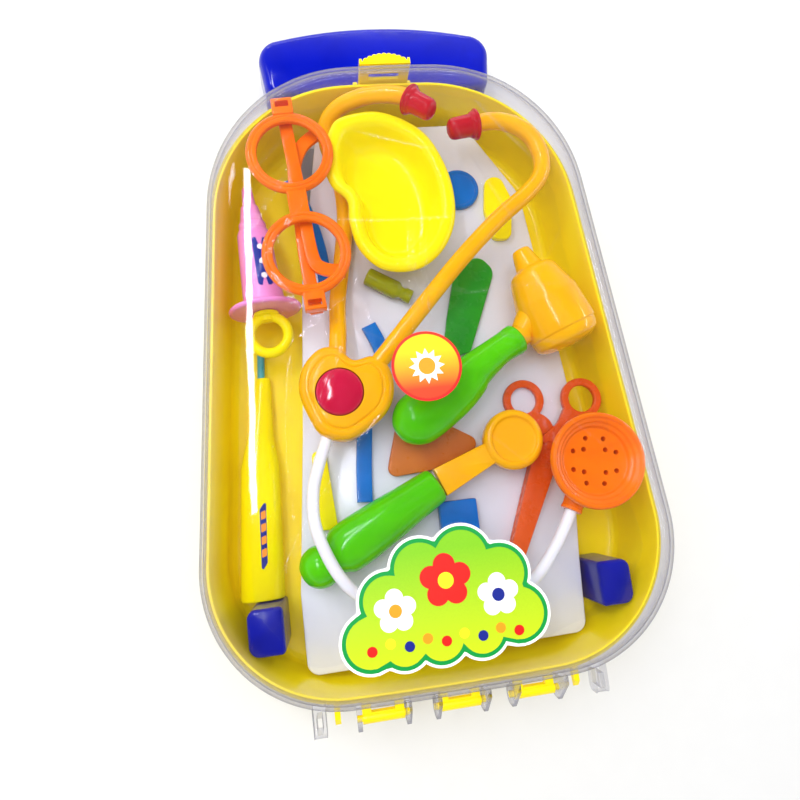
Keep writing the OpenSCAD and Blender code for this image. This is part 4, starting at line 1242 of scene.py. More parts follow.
@dataclass
class Latch(SubAssembly):
    """The yellow catch plate that turns up over the lid's nib."""

    axis: tuple[float, float] = (178.4, 36.6)
    width: float = 30.0
    plate_y: float = 175.8
    plate_top: float = 60.6
    thickness: float = 2.0
    ledge_y: float = 158.8
    bump_ring: float = 22.3
    bump_radius: float = 1.7
    bump_pitch: float = 7.4

    def ledge(self) -> Array:
        """Outline of the bowed ledge with its row of grip bumps.

        Returns:
            The outline, one point a row.
        """
        found = []
        for a in np.linspace(40.3, -40.3, 163):
            reach = self.bump_ring + 0.9
            if abs(a) < 4.5 * self.bump_pitch:
                off = math.radians(a - self.bump_pitch * round(a / self.bump_pitch))
                reach = self.bump_ring * math.cos(off) + math.sqrt(
                    self.bump_radius**2 - (self.bump_ring * math.sin(off)) ** 2)
            turn = math.radians(a)
            found.append((reach * math.sin(turn), self.ledge_y + reach * math.cos(turn)))
        return points(*found, (-self.width / 2, self.plate_y), (self.width / 2, self.plate_y))

    def build(self) -> None:
        """Builds the plate with its window, ledge and pins."""
        half, y, top = self.width / 2, self.plate_y, self.plate_top
        joined = [
            block((-half, y, self.axis[1]), (half, y + self.thickness, top), 0.4),
            slab(self.ledge(), top - 2.6, top, 0.3),
            pin(-half, half, *self.axis, 2.6),
            pin(-half - 2.8, half + 2.8, *self.axis, 1.5),
        ]
        for x in (-half, half - 1.6):
            joined.append(block((x, y, self.axis[1]), (x + 1.6, y + 3.6, top), 0.3))
        window = block((-9.2, y - 1, 47), (9.2, y + 6, 52), 0.4)
        self.make("latch_plate", joined, YELLOW_ABS, Body.LATCH, ("latch",), (window,))


@dataclass
class PullHandle(SubAssembly):
    """The deep blue handle shell, open below, with sockets for its two rods."""

    y: float = 180.5
    width: float = 154.0
    depth: float = 47.0
    shoulder: float = 28.6
    low: float = 4.0
    high: float = 30.5
    wall: float = 2.6

    def outline(self, inset: float) -> Array:
        """The handle's outline drawn in by inset."""
        half, y, end = self.width / 2, self.y, self.y + self.depth
        side = end - (half - self.shoulder) * 0.2
        corners = points((half - 5, y), (half, side), (self.shoulder, end),
                         (-self.shoulder, end), (-half, side), (5 - half, y))
        return grown(rounded(corners, [9, 15, 270, 270, 15, 9], 16), -inset)

    def build(self) -> None:
        """Builds the handle as one piece."""
        z0, z1, w = self.low, self.high, self.wall
        outer = softened(points((1.2, z0), (0, z0 + 1.2), (0.8, z1 - 4.5), (2.4, z1 - 1.2),
                                (5.5, z1)), 2.2, 5)
        inner = points((7, z1 - w), (w + 1.6, z1 - w - 2), (w, z0))
        joined = [loft([lifted(self.outline(i), z) for i, z in np.vstack([inner, outer])])]
        cuts = []
        for side in Side:
            joined.append(block((36, self.y + 1.5, z0 + 0.6), (54, self.y + 16, 28.5), 0.4)
                          .on_side(side))
            cuts.append(block((38.4, self.y - 1, 6.4), (51.6, self.y + 9.6, 11.6), 0.2)
                        .on_side(side))
        self.make("handle_shell", joined, BLUE_PP, Body.HANDLE, ("pull_handle",), tuple(cuts))


@dataclass
class InsertTray(SubAssembly):
    """The pale formed tray that the instruments lie on."""

    top: float = 22.0
    wall: float = 1.4

    def outline(self, inset: float) -> Array:
        """The tray's outline drawn in by inset."""
        corners = points((-79.5, -165.5), (83.5, -163.8), (86.4, -118), (96, -20), (84, 110),
                         (53, 161), (-44, 161), (-62, 60), (-70, -30), (-79.5, -120))
        return grown(rounded(corners, [8, 8, 8, 30, 30, 12, 12, 30, 40, 30], 10), -inset)

    def build(self) -> None:
        """Builds the tray with its walls and the room for the rod guides."""
        t, w = self.top, self.wall
        section = softened(points(
            (3.2, t - w), (2.6 + w, t - w - 0.6), (6 + w, 2.5), (6, 2.5), (0.8, t - 0.8),
            (2.2, t)), 0.7, 4)
        joined = [loft([lifted(self.outline(i), z) for i, z in section])]
        cuts = []
        for side in Side:
            for half, high in ((11, 14.9), (16, 5.1)):
                cuts.append(block((45 - half, -21, 0), (45 + half, 340, high), 0.2).on_side(side))
        self.make("tray", joined, TRAY_SHEET, nodes=("insert_tray",), cuts=tuple(cuts))


# ---------- stethoscope ----------


@dataclass
class Stethoscope(SubAssembly):
    """Heart with a push button, two ear tubes, a soft hose and the chest bell."""

    heart_at: tuple[float, float] = (-43.0, -14.0)
    heart_turn: float = -19.0
    heart_low: float = 34.0
    heart_split: float = 43.5
    heart_high: float = 54.0
    heart_edge: float = 3.0
    button_at: tuple[float, float] = (-46.0, -13.4)
    button_radius: float = 12.9
    tube_diameter: float = 10.0
    hose_diameter: float = 6.5
    bell_at: tuple[float, float] = (91.0, -66.2)
    bell_low: float = 30.5
    bell_radius: float = 27.0

    def right_route(self) -> Array:
        """Middle line of the ear tube on the right."""
        return points(
            (-28.5, -4, 47.5), (-21.5, 3, 47.5), (4, 29.5, 50), (31, 57, 51), (56, 79.5, 51),
            (76.5, 95, 51), (86.5, 106, 51), (88.5, 118.5, 51), (84, 130.5, 52), (74, 138, 53),
            (61, 140.5, 54), (46.5, 138.2, 54))

    def left_route(self) -> Array:
        """Middle line of the ear tube on the left."""
        return points(
            (-45, 5, 42), (-44.4, 12.5, 42), (-43, 24, 40), (-41, 45, 31), (-35, 75, 28),
            (-31, 100, 28), (-32, 125, 29), (-37, 142, 32), (-37, 153, 38), (-29, 160, 44),
            (-16, 162, 50), (-3, 161, 54), (8.5, 157, 57), (14.6, 151, 59.5))

    def hose_route(self) -> Array:
        """Middle line of the soft hose, from the heart to the bell."""
        return points(
            (-54.2, -33, 44), (-56.5, -40, 44), (-61, -51, 47), (-65, -64, 51), (-66, -80, 53),
            (-62, -96, 53), (-55, -111, 52), (-45, -122, 51), (-28, -131, 48), (-8, -136, 44),
            (12, -137, 42), (32, -134, 42), (49, -126, 43), (61, -113.5, 44),
            (70.5, -100.5, 44), (76.2, -91, 44), (79.5, -85.5, 44))

    def heart_outline(self, inset: float) -> Array:
        """The heart's outline drawn in by inset, about its own middle."""
        half = points((0, 20), (10, 24.5), (20, 21), (26, 9), (25, -4), (17, -16), (7, -25))
        loop = curve(np.vstack([half[::-1], half[1:] * [-1, 1]]), 10, loop=True)
        # Rings far in are scaled, because drawn-in ones would cross at the cleft.
        near = min(inset, self.heart_edge)
        return grown(loop, -near) * (1 - (inset - near) / 22)

    def heart(self, profile: Array) -> Shell:
        """A surface through heart outlines, from rows of inset and height."""
        place = Matrix.Translation((*self.heart_at, 0)) @ Matrix.Rotation(
            math.radians(self.heart_turn), 4, "Z")
        return loft([lifted(self.heart_outline(i), z) for i, z in profile]).moved(place)

    def socket_cuts(self) -> list[Shell]:
        """Room in the heart for the tubes and the hose."""
        found = [tube(curve(route, 6)[:13], self.tube_diameter + 0.1)
                 for route in (self.right_route(), self.left_route())]
        found.append(tube(curve(self.hose_route(), 6)[:13], self.hose_diameter + 0.1))
        return found

    def build_heart(self) -> None:
        """Builds the two halves of the heart and its button."""
        low, split, high = self.heart_low, self.heart_split, self.heart_high
        base = softened(points((6, low), (4, low), (1.2, low + 1.4), (0, low + 4.5),
                               (0, split - 0.25), (0.35, split)), 2.0, 5)
        self.make("heart_lower_half", [self.heart(base)], AMBER_PE, nodes=("heart_base",),
                  cuts=tuple(self.socket_cuts()))
        cover = softened(points(
            (0.35, split), (0, split + 0.25), (0, high - 6.5), (0.9, high - 3.2),
            (2.9, high - 1.2), (5.4, high - 0.8), (5.8, high - 1.3), (6.3, high - 1.3),
            (6.8, high - 0.4), (8.0, high)), 1.2, 5)
        x, y = self.button_at
        well = lathe(points((0, split - 1), (14.6, split - 1), (14.6, 49.4), (13.25, 49.4),
                            (13.25, 80), (0, 80)), 72).moved(Matrix.Translation((x, y, 0)))
        self.make("heart_upper_half", [self.heart(cover)], AMBER_PE, nodes=("heart_cover",),
                  cuts=(*self.socket_cuts(), well))
        r, crown = self.button_radius, high + 0.5
        button = softened(points(
            (0, 47.5), (14.2, 47.5), (14.2, 49.1), (r, 49.1), (r, crown - 1),
            (r - 0.5, crown + 0.2), (r - 1.8, crown + 0.9), (r - 5, crown + 1.9),
            (r - 9, crown + 2.6), (0, crown + 3)), 1.0, 4)
        self.make("button", [lathe(button, 72).moved(Matrix.Translation((x, y, 0)))],
                  CRIMSON_PS, Body.BUTTON, ("heart_button",))

    def build_spring(self) -> None:
        """Builds the wire spring under the button, in one fixed shape."""
        (x, y), low, high = self.button_at, self.heart_split + 0.5, 47.0
        turn = np.linspace(0, 6 * math.pi, 90)
        line = np.column_stack([x + 5.5 * np.cos(turn), y + 5.5 * np.sin(turn),
                                np.linspace(low, high, 90)])
        spring = self.make("return_spring", [tube(line, 0.9, 12)], STEEL,
                           nodes=("button_spring",))
        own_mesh(spring)

    def build_tubes(self) -> None:
        """Builds the ear tubes and their soft tips."""
        for name, route in (("right", self.right_route()), ("left", self.left_route())):
            self.make(f"ear_tube_{name}_moulding", [tube(curve(route, 7), self.tube_diameter, 32)],
                      AMBER_PE, nodes=(f"ear_tube_{name}",))
            r = self.tube_diameter / 2
            tip = softened(points(
                (r + 0.3, 0), (r + 3, 0), (r + 3.8, 0.6), (r + 3.8, 1.6), (r + 2.6, 2.2),
                (r + 2.6, 3.6), (r + 1.5, 4.8), (r + 1.2, 15), (r + 0.4, 17), (r - 1.6, 18.2),
                (0.01, 18.6), (0.01, 5.4), (r + 0.3, 5.4)), 0.8, 4, loop=True)
            place = aimed(route[-1], 2 * route[-1] - route[-2]) @ Matrix.Translation((0, 0, -5))
            self.make(f"ear_tip_{name}_moulding", [lathe(tip, 56).moved(place)], RED_PE,
                      nodes=(f"ear_tip_{name}",))

    def build_hose(self, bell: bpy.types.Object) -> None:
        """Args:
            bell: The fitting at its far end; not used.
        """
        route = self.hose_route()
        line = bpy.data.curves.new("soft_hose", "CURVE")
        line.dimensions, line.bevel_depth = "3D", self.hose_diameter / 2 * MM
        line.bevel_resolution, line.resolution_u, line.use_fill_caps = 8, 8, True
        spline = line.splines.new("BEZIER")
        spline.bezier_points.add(len(route) - 1)
        ahead, behind = np.vstack([route[1:], route[-1:]]), np.vstack([route[:1], route[:-1]])
        pull = (ahead - behind) / 6
        for knot, place, way in zip(spline.bezier_points, route, pull):
            knot.handle_left_type = knot.handle_right_type = "FREE"
            knot.co = place * MM
            knot.handle_left, knot.handle_right = (place - way) * MM, (place + way) * MM
        hose = bpy.data.objects.new("soft_hose", line)
        bpy.context.scene.collection.objects.link(hose)
        self.dress(hose, WHITE_PVC, Body.CASE, ("hose",))
        steps = curve(route, 12)

    def build_bell(self) -> bpy.types.Object:
        """Builds the bell with its ring of holes and the neck for the hose.

        Returns:
            The bell.
        """
        r, route = self.bell_radius, self.hose_route()
        face = softened(points(
            (0, 0), (10, 0), (13, 1.2), (16, 5), (19, 10), (r - 4, 17), (r - 1, 21.5),
            (r, 24.5), (r - 0.5, 26.8), (r - 1.6, 27.5), (r - 2.8, 27.2), (r - 3.4, 26),
            (r - 5.2, 25.4), (r - 5.8, 24), (r - 7.6, 23.2), (r - 8.4, 21.2), (10, 20.7),
            (0, 20.6)), 0.9, 4)
        turn = math.atan2(route[15][1] - self.bell_at[1], route[15][0] - self.bell_at[0])
        neck_place = Matrix.Rotation(turn, 4, "Z") @ Matrix.Translation(
            (r - 10, 0, 44 - self.bell_low)) @ Matrix.Rotation(math.pi / 2, 4, "Y")
        neck = lathe(softened(points((0, 0), (7, 0), (5.6, 11), (6, 11), (6, 13), (0, 13)),
                              0.6, 3), 48).moved(neck_place)
        place = Matrix.Translation((*self.bell_at, self.bell_low))
        cuts = []
        for count, ring, first in ((4, 8.9, 37.0), (8, 13.5, 14.5)):
            for i in range(count):
                a = math.radians(360 * i / count + first)
                hole = lathe(points((0, 14.5), (1.4, 14.5), (1.4, 24.5), (0, 24.5)), 24)
                cuts.append(hole.moved(place @ Matrix.Translation(
                    (ring * math.cos(a), ring * math.sin(a), 0))))
        bore = lathe(points((0, 0), (3.35, 0), (3.35, 30), (0, 30)), 32)
        cuts.append(bore.moved(aimed(route[16], route[15])))
        return self.make("bell", [lathe(face, 96).moved(place), neck.moved(place)], ORANGE_PE,
                         nodes=("chest_bell",), cuts=tuple(cuts))

    def build(self) -> None:
        """Builds every piece of the stethoscope."""
        self.build_heart()
        self.build_spring()
        self.build_tubes()
        self.build_hose(self.build_bell())


# ---------- the other instruments ----------


@dataclass
class Glasses(SubAssembly):
    """Toy glasses lying across the dish, with their temples folded below."""

    at: tuple[float, float] = (-58.0, 94.8)
    turn: float = 3.7
    z: float = 54.9
    lens_y: float = 30.0
    outer: float = 24.5
    inner: float = 18.4
    thickness: float = 4.0

    def place(self, z: float) -> Matrix:
        """The matrix to the glasses' own place at height z."""
        return Matrix.Translation((*self.at, z)) @ Matrix.Rotation(
            math.radians(self.turn), 4, "Z")

    def build(self) -> None:
        """Builds the frame and the two temples."""
        r, i, t = self.outer, self.inner, self.thickness
        ring = softened(points(
            (i, 0.8), (i + 0.8, 0), (r - 1.4, 0), (r, 1.2), (r, t - 1.2), (r - 1.4, t),
            (r - 2.6, t), (r - 2.9, t - 0.35), (r - 3.2, t - 0.35), (r - 3.5, t), (i + 0.8, t),
            (i, t - 0.8)), 0.5, 3, loop=True)
        here = self.place(self.z)
        joined, cuts = [], []
        for side in (-1, 1):
            low = side * (self.lens_y + r) - (1.6 if side > 0 else 8.4)
            slot = side * (self.lens_y + r + 4.6) - 1.8
            joined += [lathe(ring, 96).moved(here @ Matrix.Translation((0, side * self.lens_y, 0))),
                       block((-6, low, -2.4), (6, low + 10, t + 0.6), 0.6).moved(here)]
            cuts += [block((-3.8, slot, -4), (3.8, slot + 3.6, 16), 0.3).moved(here)]
        bridge = joined_shell([block((-5.5, -8, 0.4), (5.5, 8, t - 0.4), 0.6)], [
            lathe(points((0, -1), (i + 1, -1), (i + 1, 9), (0, 9)), 64).moved(
                Matrix.Translation((0, side * self.lens_y, 0))) for side in (-1, 1)])
        joined.append(bridge.moved(here))
        self.make("glasses_rings", joined, ORANGE_PE, nodes=("glasses_frame",), cuts=tuple(cuts))
        upper = points((0, 60), (1, 30), (2, 0), (3, -30), (8, -38), (20, -41))
        lower = points((0, -62), (-1, -30), (0, 0), (1, 24), (7, 38), (16, 45))
        for name, line, z in (("temple_upper", upper, 49.2), ("temple_lower", lower, 45.9)):
            outline = anticlockwise(strip(curve(line, 6), 7.5))
            self.make(f"{name}_moulding", [slab(outline, 0, 3, 0.5).moved(self.place(z))],
                      ORANGE_PE, nodes=(name,))


@dataclass
class KidneyDish(SubAssembly):
    """The bright yellow kidney dish with a broad rolled rim."""

    at: tuple[float, float] = (-4.0, 102.0)
    floor: float = 33.5
    top: float = 54.0

    def outline(self, inset: float) -> Array:
        """The dish's outline drawn in by inset; far in it is scaled, so it can't cross."""
        knots = points(
            (-25, 47), (-5, 50), (12, 44), (25, 33), (33, 16), (36.5, -2), (35, -21), (27, -37),
            (14, -47.5), (0, -50), (-13, -46), (-23, -34), (-26.5, -18), (-26.5, -5), (-34, 4),
            (-37, 14), (-36.5, 26), (-32.5, 39))
        near = min(inset, 5.0)
        far = (inset - near) * np.array([1 / 33, 1 / 46])
        return grown(curve(knots[::-1], 10, loop=True), -near) * (1 - far)

    def build(self) -> None:
        """Builds the dish with a smooth bowl."""
        f, t = self.floor, self.top
        section = softened(points(
            (16, f), (13, f + 0.8), (4.2, t - 6), (2.2, t - 4.6), (0.5, t - 4.4), (0, t - 3.4),
            (0.7, t - 1.6), (2.6, t - 0.3), (5, t), (7.4, t - 0.7), (9.4, t - 2.8),
            (11.4, t - 8), (14, t - 14.5), (17.5, f + 2.6), (22, f + 1.8)), 2.4, 7)
        place = Matrix.Translation((*self.at, 0))
        shell = loft([lifted(self.outline(i), z) for i, z in section]).moved(place)
        self.make("dish", [shell], YELLOW_PE, nodes=("kidney_dish",))


def oval_grip(section: Array, sides: int = 48) -> Shell:
    """Oval grip along +Z, from rows of place, half width, half height and shift across."""
    turn = np.linspace(0, 2 * math.pi, sides, endpoint=False)
    return loft([np.column_stack([high * np.cos(turn), wide * np.sin(turn) + shift,
                                  np.full(sides, z)]) for z, wide, high, shift in section])


@dataclass
class Otoscope(SubAssembly):
    """Green grip with an amber head that ends in a round bell."""

    z: float = 40.8
    grip_end: tuple[float, float] = (-3.3, -32.2)
    neck: tuple[float, float] = (62.8, 7.9)
    collar: tuple[float, float] = (61.1, 10.5)
    tip: tuple[float, float] = (69.0, 62.5)
    rim: tuple[float, float] = (91.2, 3.5)

    def build(self) -> None:
        """Builds the grip and the head."""
        end, neck = np.array([*self.grip_end, self.z]), np.array([*self.neck, self.z + 2])
        tip, rim = np.array([*self.tip, self.z + 4]), np.array([*self.rim, self.z + 2])
        length = float(np.linalg.norm(neck - end))
        grip = np.vstack([curve(points(
            (-14.2, 3, 2.4, 0.9), (-13, 6.6, 5.2, 0.9), (-9.6, 10.8, 8.4, 0.9),
            (-5, 13.8, 10.6, 0.9), (0, 15.2, 11.5, 0.9), (10, 15.4, 11.6, 0.8),
            (24, 14.5, 11.4, 0.7), (34, 13.2, 10.8, 1.1), (42, 11.8, 10.2, 2.1),
            (length - 31, 10.6, 9.9, 3), (length - 17, 8.9, 9.2, 3.7),
            (length - 9, 8.9, 9.2, 3.3)), 5), softened(points(
                (length - 6.2, 9, 9.3, 3.2), (length - 5.6, 9.3, 9.5, 3.1),
                (length - 2, 9.2, 9.4, 3), (length - 1, 8.2, 8.4, 3)), 0.6, 4)])
        self.make("otoscope_grip", [oval_grip(grip).moved(aimed(end, neck))], GREEN_PE,
                  nodes=("otoscope_handle",))
        reach = float(np.linalg.norm(rim - tip))
        head = softened(points(
            (0, 0), (4.4, 0), (5.4, 1), (8.2, 12), (12.4, 13.6), (14.4, 16), (19.4, 33),
            (20.4, reach - 14), (20.4, reach - 9), (19.6, reach - 8.6), (19.6, reach - 6),
            (18.4, reach - 2.6), (14.6, reach - 0.4), (8, reach + 1), (0, reach + 1.4)), 1.4, 5)
        collar = lathe(softened(points((0, 0), (6.8, 0), (6.8, 5), (0, 5)), 0.5, 3), 48).moved(
            aimed(end, neck) @ Matrix.Translation((0, 3, length - 0.9)))
        stem = lathe(points((0, 3), (6.6, 3), (9.5, 16), (0, 16)), 48).moved(
            aimed(np.array([*self.collar, self.z + 2]), (tip + rim) / 2))
        bore = lathe(points((0, -1), (1.8, -1), (1.8, 8), (0, 8)), 32)
        self.make("otoscope_bell", [lathe(head, 80).moved(aimed(tip, rim)), collar, stem],
                  AMBER_PE, nodes=("otoscope_head",), cuts=(bore.moved(aimed(tip, rim)),))


@dataclass
class Mirror(SubAssembly):
    """Green grip with a ball end and an amber head with a round disc."""

    z: float = 34.4
    ball: tuple[float, float] = (-66.0, -105.5)
    neck: tuple[float, float] = (4.0, -68.5)
    disc: tuple[float, float] = (50.6, -48.5)

    def build(self) -> None:
        """Builds the grip, and the head with its shank."""
        ball, neck = np.array([*self.ball, self.z]), np.array([*self.neck, self.z])
        length = float(np.linalg.norm(neck - ball))
        section = curve(points(
            (-10.6, 3, 3, 0), (-9.4, 6.2, 6.2, 0), (-5.5, 10.2, 10, 0), (0, 11.8, 11.4, 0),
            (5, 11, 10.8, 0), (8.4, 9.9, 9.8, 0), (12, 11.8, 10.6, 0), (16, 13.6, 11.6, 0),
            (26, 14, 12, 0), (44, 13, 12, 0), (60, 11.6, 11, 0), (length - 6, 10.6, 10, 0),
            (length - 1.5, 10, 9.4, 0), (length, 8, 7.4, 0)), 5)
        self.make("mirror_grip", [oval_grip(section).moved(aimed(ball, neck))], GREEN_PE,
                  nodes=("mirror_handle",))
        low = self.z - 4.5
        shank = points((8.2, -75.7), (39, -60.2), (33, -49), (2.2, -60.1))
        disc = softened(points(
            (0, 0), (15.5, 0), (17.4, 2), (17.4, 8), (15.8, 10), (14, 10.4), (13.2, 9.8),
            (12.8, 8.8), (11.8, 8.4), (0, 8.4)), 0.9, 4)
        self.make("mirror_disc", [
            lathe(disc, 80).moved(Matrix.Translation((*self.disc, low + 0.8))),
            slab(shank, low, low + 9, 0.7)], AMBER_PE, nodes=("mirror_head",))


@dataclass
class Syringe(SubAssembly):
    """Pink barrel with a finger disc and a yellow plunger with a thumb ring."""

    tip: tuple[float, float] = (-88.5, 121.0)
    end: tuple[float, float] = (-83.6, 43.8)
    z: float = 27.4
    radius: float = 12.0
    disc: float = 21.0
    bore: float = 4.6

    def build(self) -> None:
        """Builds the barrel and the plunger."""
        tip, end = np.array([*self.tip, self.z]), np.array([*self.end, self.z])
        length = float(np.linalg.norm(end - tip))
        way = end - tip
        place = Matrix.Translation(Vector(tip)) @ Matrix.Rotation(
            math.atan2(way[1], way[0]), 4, "Z") @ Matrix.Rotation(math.pi / 2, 4, "Y")
        r, d, b = self.radius, self.disc, self.bore
        barrel = softened(points(
            (0, 0), (2.2, 0), (3, 1.2), (4, 12), (5.2, 12.6), (7, 23), (8, 23.6), (8.2, 27.6),
            (r - 3, 28.6), (r - 2.2, 31), (r - 0.6, 60), (r, length - 4), (r + 3, length - 2),
            (d - 1, length - 1.6), (d, length - 0.6), (d, length + 0.6), (d - 1, length + 1.6),
            (b, length + 1.6), (b, 34), (0, 34)), 0.8, 4)
        self.make("barrel", [lathe(barrel, 72).moved(place)], PINK_PE, nodes=("syringe_barrel",))
        stem = softened(points((0, length - 30), (b - 0.3, length - 30), (b - 0.3, length + 2),
                               (7.5, length + 1.9), (7.5, length + 3.9), (b - 0.3, length + 4),
                               (b - 0.3, length + 7), (0, length + 7)), 0.4, 3)
        circle = arc((0, 0), 11.0, 0, 357, 72)
        ring = tube(np.column_stack([np.zeros(72), circle]), 6.0, 28, loop=True)
        shift = Matrix.Translation((0, 0, length + 15))
        self.make("plunger_ring", [lathe(stem, 48).moved(place), ring.moved(place @ shift)],
                  YELLOW_PE, Body.PLUNGER, ("syringe_plunger",))


@dataclass
class Thermometer(SubAssembly):
    """Yellow thermometer body with a teal probe."""

    face_y: float = -122.4
    low: float = 2.5
    probe: tuple[float, float, float] = (-92.0, 3.0, 6.5)

    def build(self) -> None:
        """Builds the body and the probe."""
        y = self.face_y + 0.8
        section = points(
            (y, -100.5, 12, 17), (y + 1.5, -100.5, 12.6, 17.6), (-46, -96.2, 11.2, 16),
            (-30, -95, 8, 13), (4, -90.8, 4.6, 9), (7, -90.5, 4, 8))
        turn = np.linspace(0, 2 * math.pi, 40, endpoint=False)
        rings = []
        for at_y, x, half, high in section:
            rings.append(np.column_stack([
                x + half * np.sign(np.cos(turn)) * np.abs(np.cos(turn)) ** 0.8,
                np.full(40, at_y),
                self.low + high / 2 + high / 2 * np.sign(np.sin(turn))
                * np.abs(np.sin(turn)) ** 0.9]))
        place = Matrix.Translation(self.probe) @ Matrix.Rotation(-math.pi / 2, 4, "X") \
            @ Matrix.Rotation(math.radians(4), 4, "Y")
        bore = lathe(points((0, 0), (2.3, 0), (2.3, 20), (0, 20)), 32).moved(place)
        self.make("thermometer_moulding", [loft(rings)], YELLOW_PE, nodes=("thermometer_body",),
                  cuts=(bore,))
        rod = np.vstack([points((0, 0), (2.2, 0)), arc((0, 20), 2.2, 0, 90, 9)])
        self.make("probe", [lathe(rod, 32).moved(place)], TEAL_PE, nodes=("thermometer_probe",))


@dataclass
class Scissors(SubAssembly):
    """Two orange halves that turn on a pivot."""

    pivot: tuple[float, float] = (74.0, -54.0)
    blade_end: tuple[float, float] = (42.0, -122.0)
    loop_middle: tuple[float, float] = (7.5, 27.5)
    loop_offset: tuple[float, float] = (17.2, -1.5)
    low: float = 22.2
    thickness: float = 8.0

    def half(self, side: int, z: float) -> tuple[list[Shell], list[Shell]]:
        """One half: what is joined and what is cut away.

        Args:
            side: -1 for the lower half and 1 for the upper one.
            z: Its lower face.

        Returns:
            The two lists.
        """
        pivot, end = np.array(self.pivot), np.array(self.blade_end)
        way = unit(end - pivot)
        across = np.array([-way[1], way[0]])
        centre = pivot + self.loop_middle + side * np.array(self.loop_offset)
        t = self.thickness / 2 - 0.15
        blade = anticlockwise(np.array([
            pivot - 8 * across, pivot + 8 * across, end + 4 * across, end - 4 * across]))
        arm = anticlockwise(strip(curve(np.array([
            pivot - side * 3 * across, pivot - 12 * way + side * 5 * across,
            centre + 9 * way - side * 4 * across]), 5), 9))
        hole = softened(points((8, 0.6), (8.6, 0), (12, 0), (12.5, 0.5), (12.5, t - 0.5),
                               (12, t), (8.6, t), (8, t - 0.6)), 0.3, 3, loop=True)
        joined = [slab(rounded(blade, [2] * 4, 6), z, z + t, 0.5), slab(arm, z, z + t, 0.5),
                  lathe(hole, 64).moved(Matrix.Translation((*centre, z)))]
        room = lathe(points((0, z - 1), (8.05, z - 1), (8.05, z + t + 1), (0, z + t + 1)), 64)
        bore = lathe(points((0, z - 1), (2.55, z - 1), (2.55, z + 19), (0, z + 19)), 32)
        return joined, [room.moved(Matrix.Translation((*centre, 0))),
                        bore.moved(Matrix.Translation((*self.pivot, 0)))]

    def build(self) -> None:
        """Builds both halves and the pivot."""
        joined, cuts = self.half(-1, self.low)
        post = lathe(softened(points((0, self.low), (2.5, self.low), (2.5, self.low + 7.7),
                                     (0, self.low + 7.7)), 0.4, 3), 40)
        self.make("scissors_lower_half", [joined_shell(joined, cuts), post.moved(
            Matrix.Translation((*self.pivot, 0)))], SCISSORS_PE, nodes=("scissors_lower",))
        joined, cuts = self.half(1, self.low + self.thickness / 2 + 0.15)
        self.make("scissors_upper_half", joined, SCISSORS_PE, Body.SCISSORS_BLADE,
                  ("scissors_upper",), tuple(cuts))


@dataclass
class FlatInstruments(SubAssembly):
    """The flat things that lie on the tray below the others."""

    z: float = 22.2

    def build(self) -> None:
        """Builds each flat instrument."""
        z = self.z
        strips = (
            ("forceps", BLUE_PE, 9, 4, points((-37.5, -74), (-36, -55), (-33, -30), (-30, -5),
                                              (-18, 10), (-24, 30))),
            ("tongs", BLUE_PE, 8, 4, points((-63, 126), (-54, 104), (-48.5, 80), (-47, 56))),
        )
        for name, finish, width, high, line in strips:
            outline = anticlockwise(strip(curve(line, 6), width))
            self.make(f"{name}_moulding", [slab(outline, z, z + high, 0.7)], finish, nodes=(name,))
        plates = (
            ("spatula", LEAF_PE, 3.5, [4, 4, 8, 8, 8, 20], points(
                (18, 4), (36, 8), (58, 58), (50, 68), (34, 64), (24, 30))),
            ("spoon", YELLOW_PE, 4, [5, 5, 8, 6, 6, 12], points(
                (60, 78), (72, 78), (76, 104), (70, 122), (60, 118), (57, 98))),
            ("strip", YELLOW_PE, 3, [3] * 4, points(
                (-66, -87), (-54, -87), (-57, -42), (-65, -42))),
            ("splint", BROWN_PE, 4, [5] * 4, points(
                (-24, -62), (23, -59), (34, -46), (-10.5, -18))),
            ("medicine_box", BLUE_PE, 8, [1.2] * 4, points(
                (4, -97), (26, -97), (26, -79), (4, -79))),
        )
        for name, finish, high, radii, corners in plates:
            outline = rounded(corners, radii, 8)
            self.make(f"{name}_moulding", [slab(outline, z, z + high, 0.6)], finish, nodes=(name,))
        badge = softened(points((0, 0), (13, 0), (13, 3), (12.2, 3.8), (11, 3.8), (10.4, 3),
                                (0, 3)), 0.4, 3)
        self.make("badge_moulding", [lathe(badge, 72).moved(Matrix.Translation((42.6, 113.6, z)))],
                  BLUE_PE, nodes=("badge",))
        flask = softened(points((0, 0), (4.6, 0), (5.4, 0.8), (5.4, 20), (3.4, 23), (3.4, 25),
                                (4.2, 25), (4.2, 30), (0, 30)), 0.6, 4)
        place = aimed(np.array([-22, 60, z + 5.5]), np.array([3, 44.5, z + 5.5]))
        self.make("bottle_moulding", [lathe(flask, 48).moved(place)], OLIVE_PE, nodes=("bottle",))


def bumpy(middle: tuple[float, float], lobes: Array, count: int = 160) -> Array:
    """Outline round a group of overlapping circles, as a cloud has.

    Args:
        middle: A place inside the group.
        lobes: Rows of x, y and radius.
        count: Points in the outline.

    Returns:
        The outline, seen from the middle.
    """
    found = []
    for a in np.linspace(0, 2 * math.pi, count, endpoint=False):
        way = np.array([math.cos(a), math.sin(a)])
        reach = 1.0
        for x, y, r in lobes:
            to = np.array([x, y]) - middle
            along = float(to @ way)
            inside = r * r - float(to @ to) + along * along
            if inside > 0:
                reach = max(reach, along + math.sqrt(inside))
        found.append(np.array(middle) + reach * way)
    return np.array(found)


def disc(x: float, y: float, radius: float) -> Array:
    """A round outline."""
    return arc((x, y), radius, 0, 355, 72)


def ring_of(middle: tuple[float, float], reach: float, count: int) -> list[tuple[float, float]]:
    """Places evenly round a middle, the first of them above it."""
    turns = [math.pi / 2 + 2 * math.pi * i / count for i in range(count)]
    return [(middle[0] + reach * math.cos(a), middle[1] + reach * math.sin(a)) for a in turns]


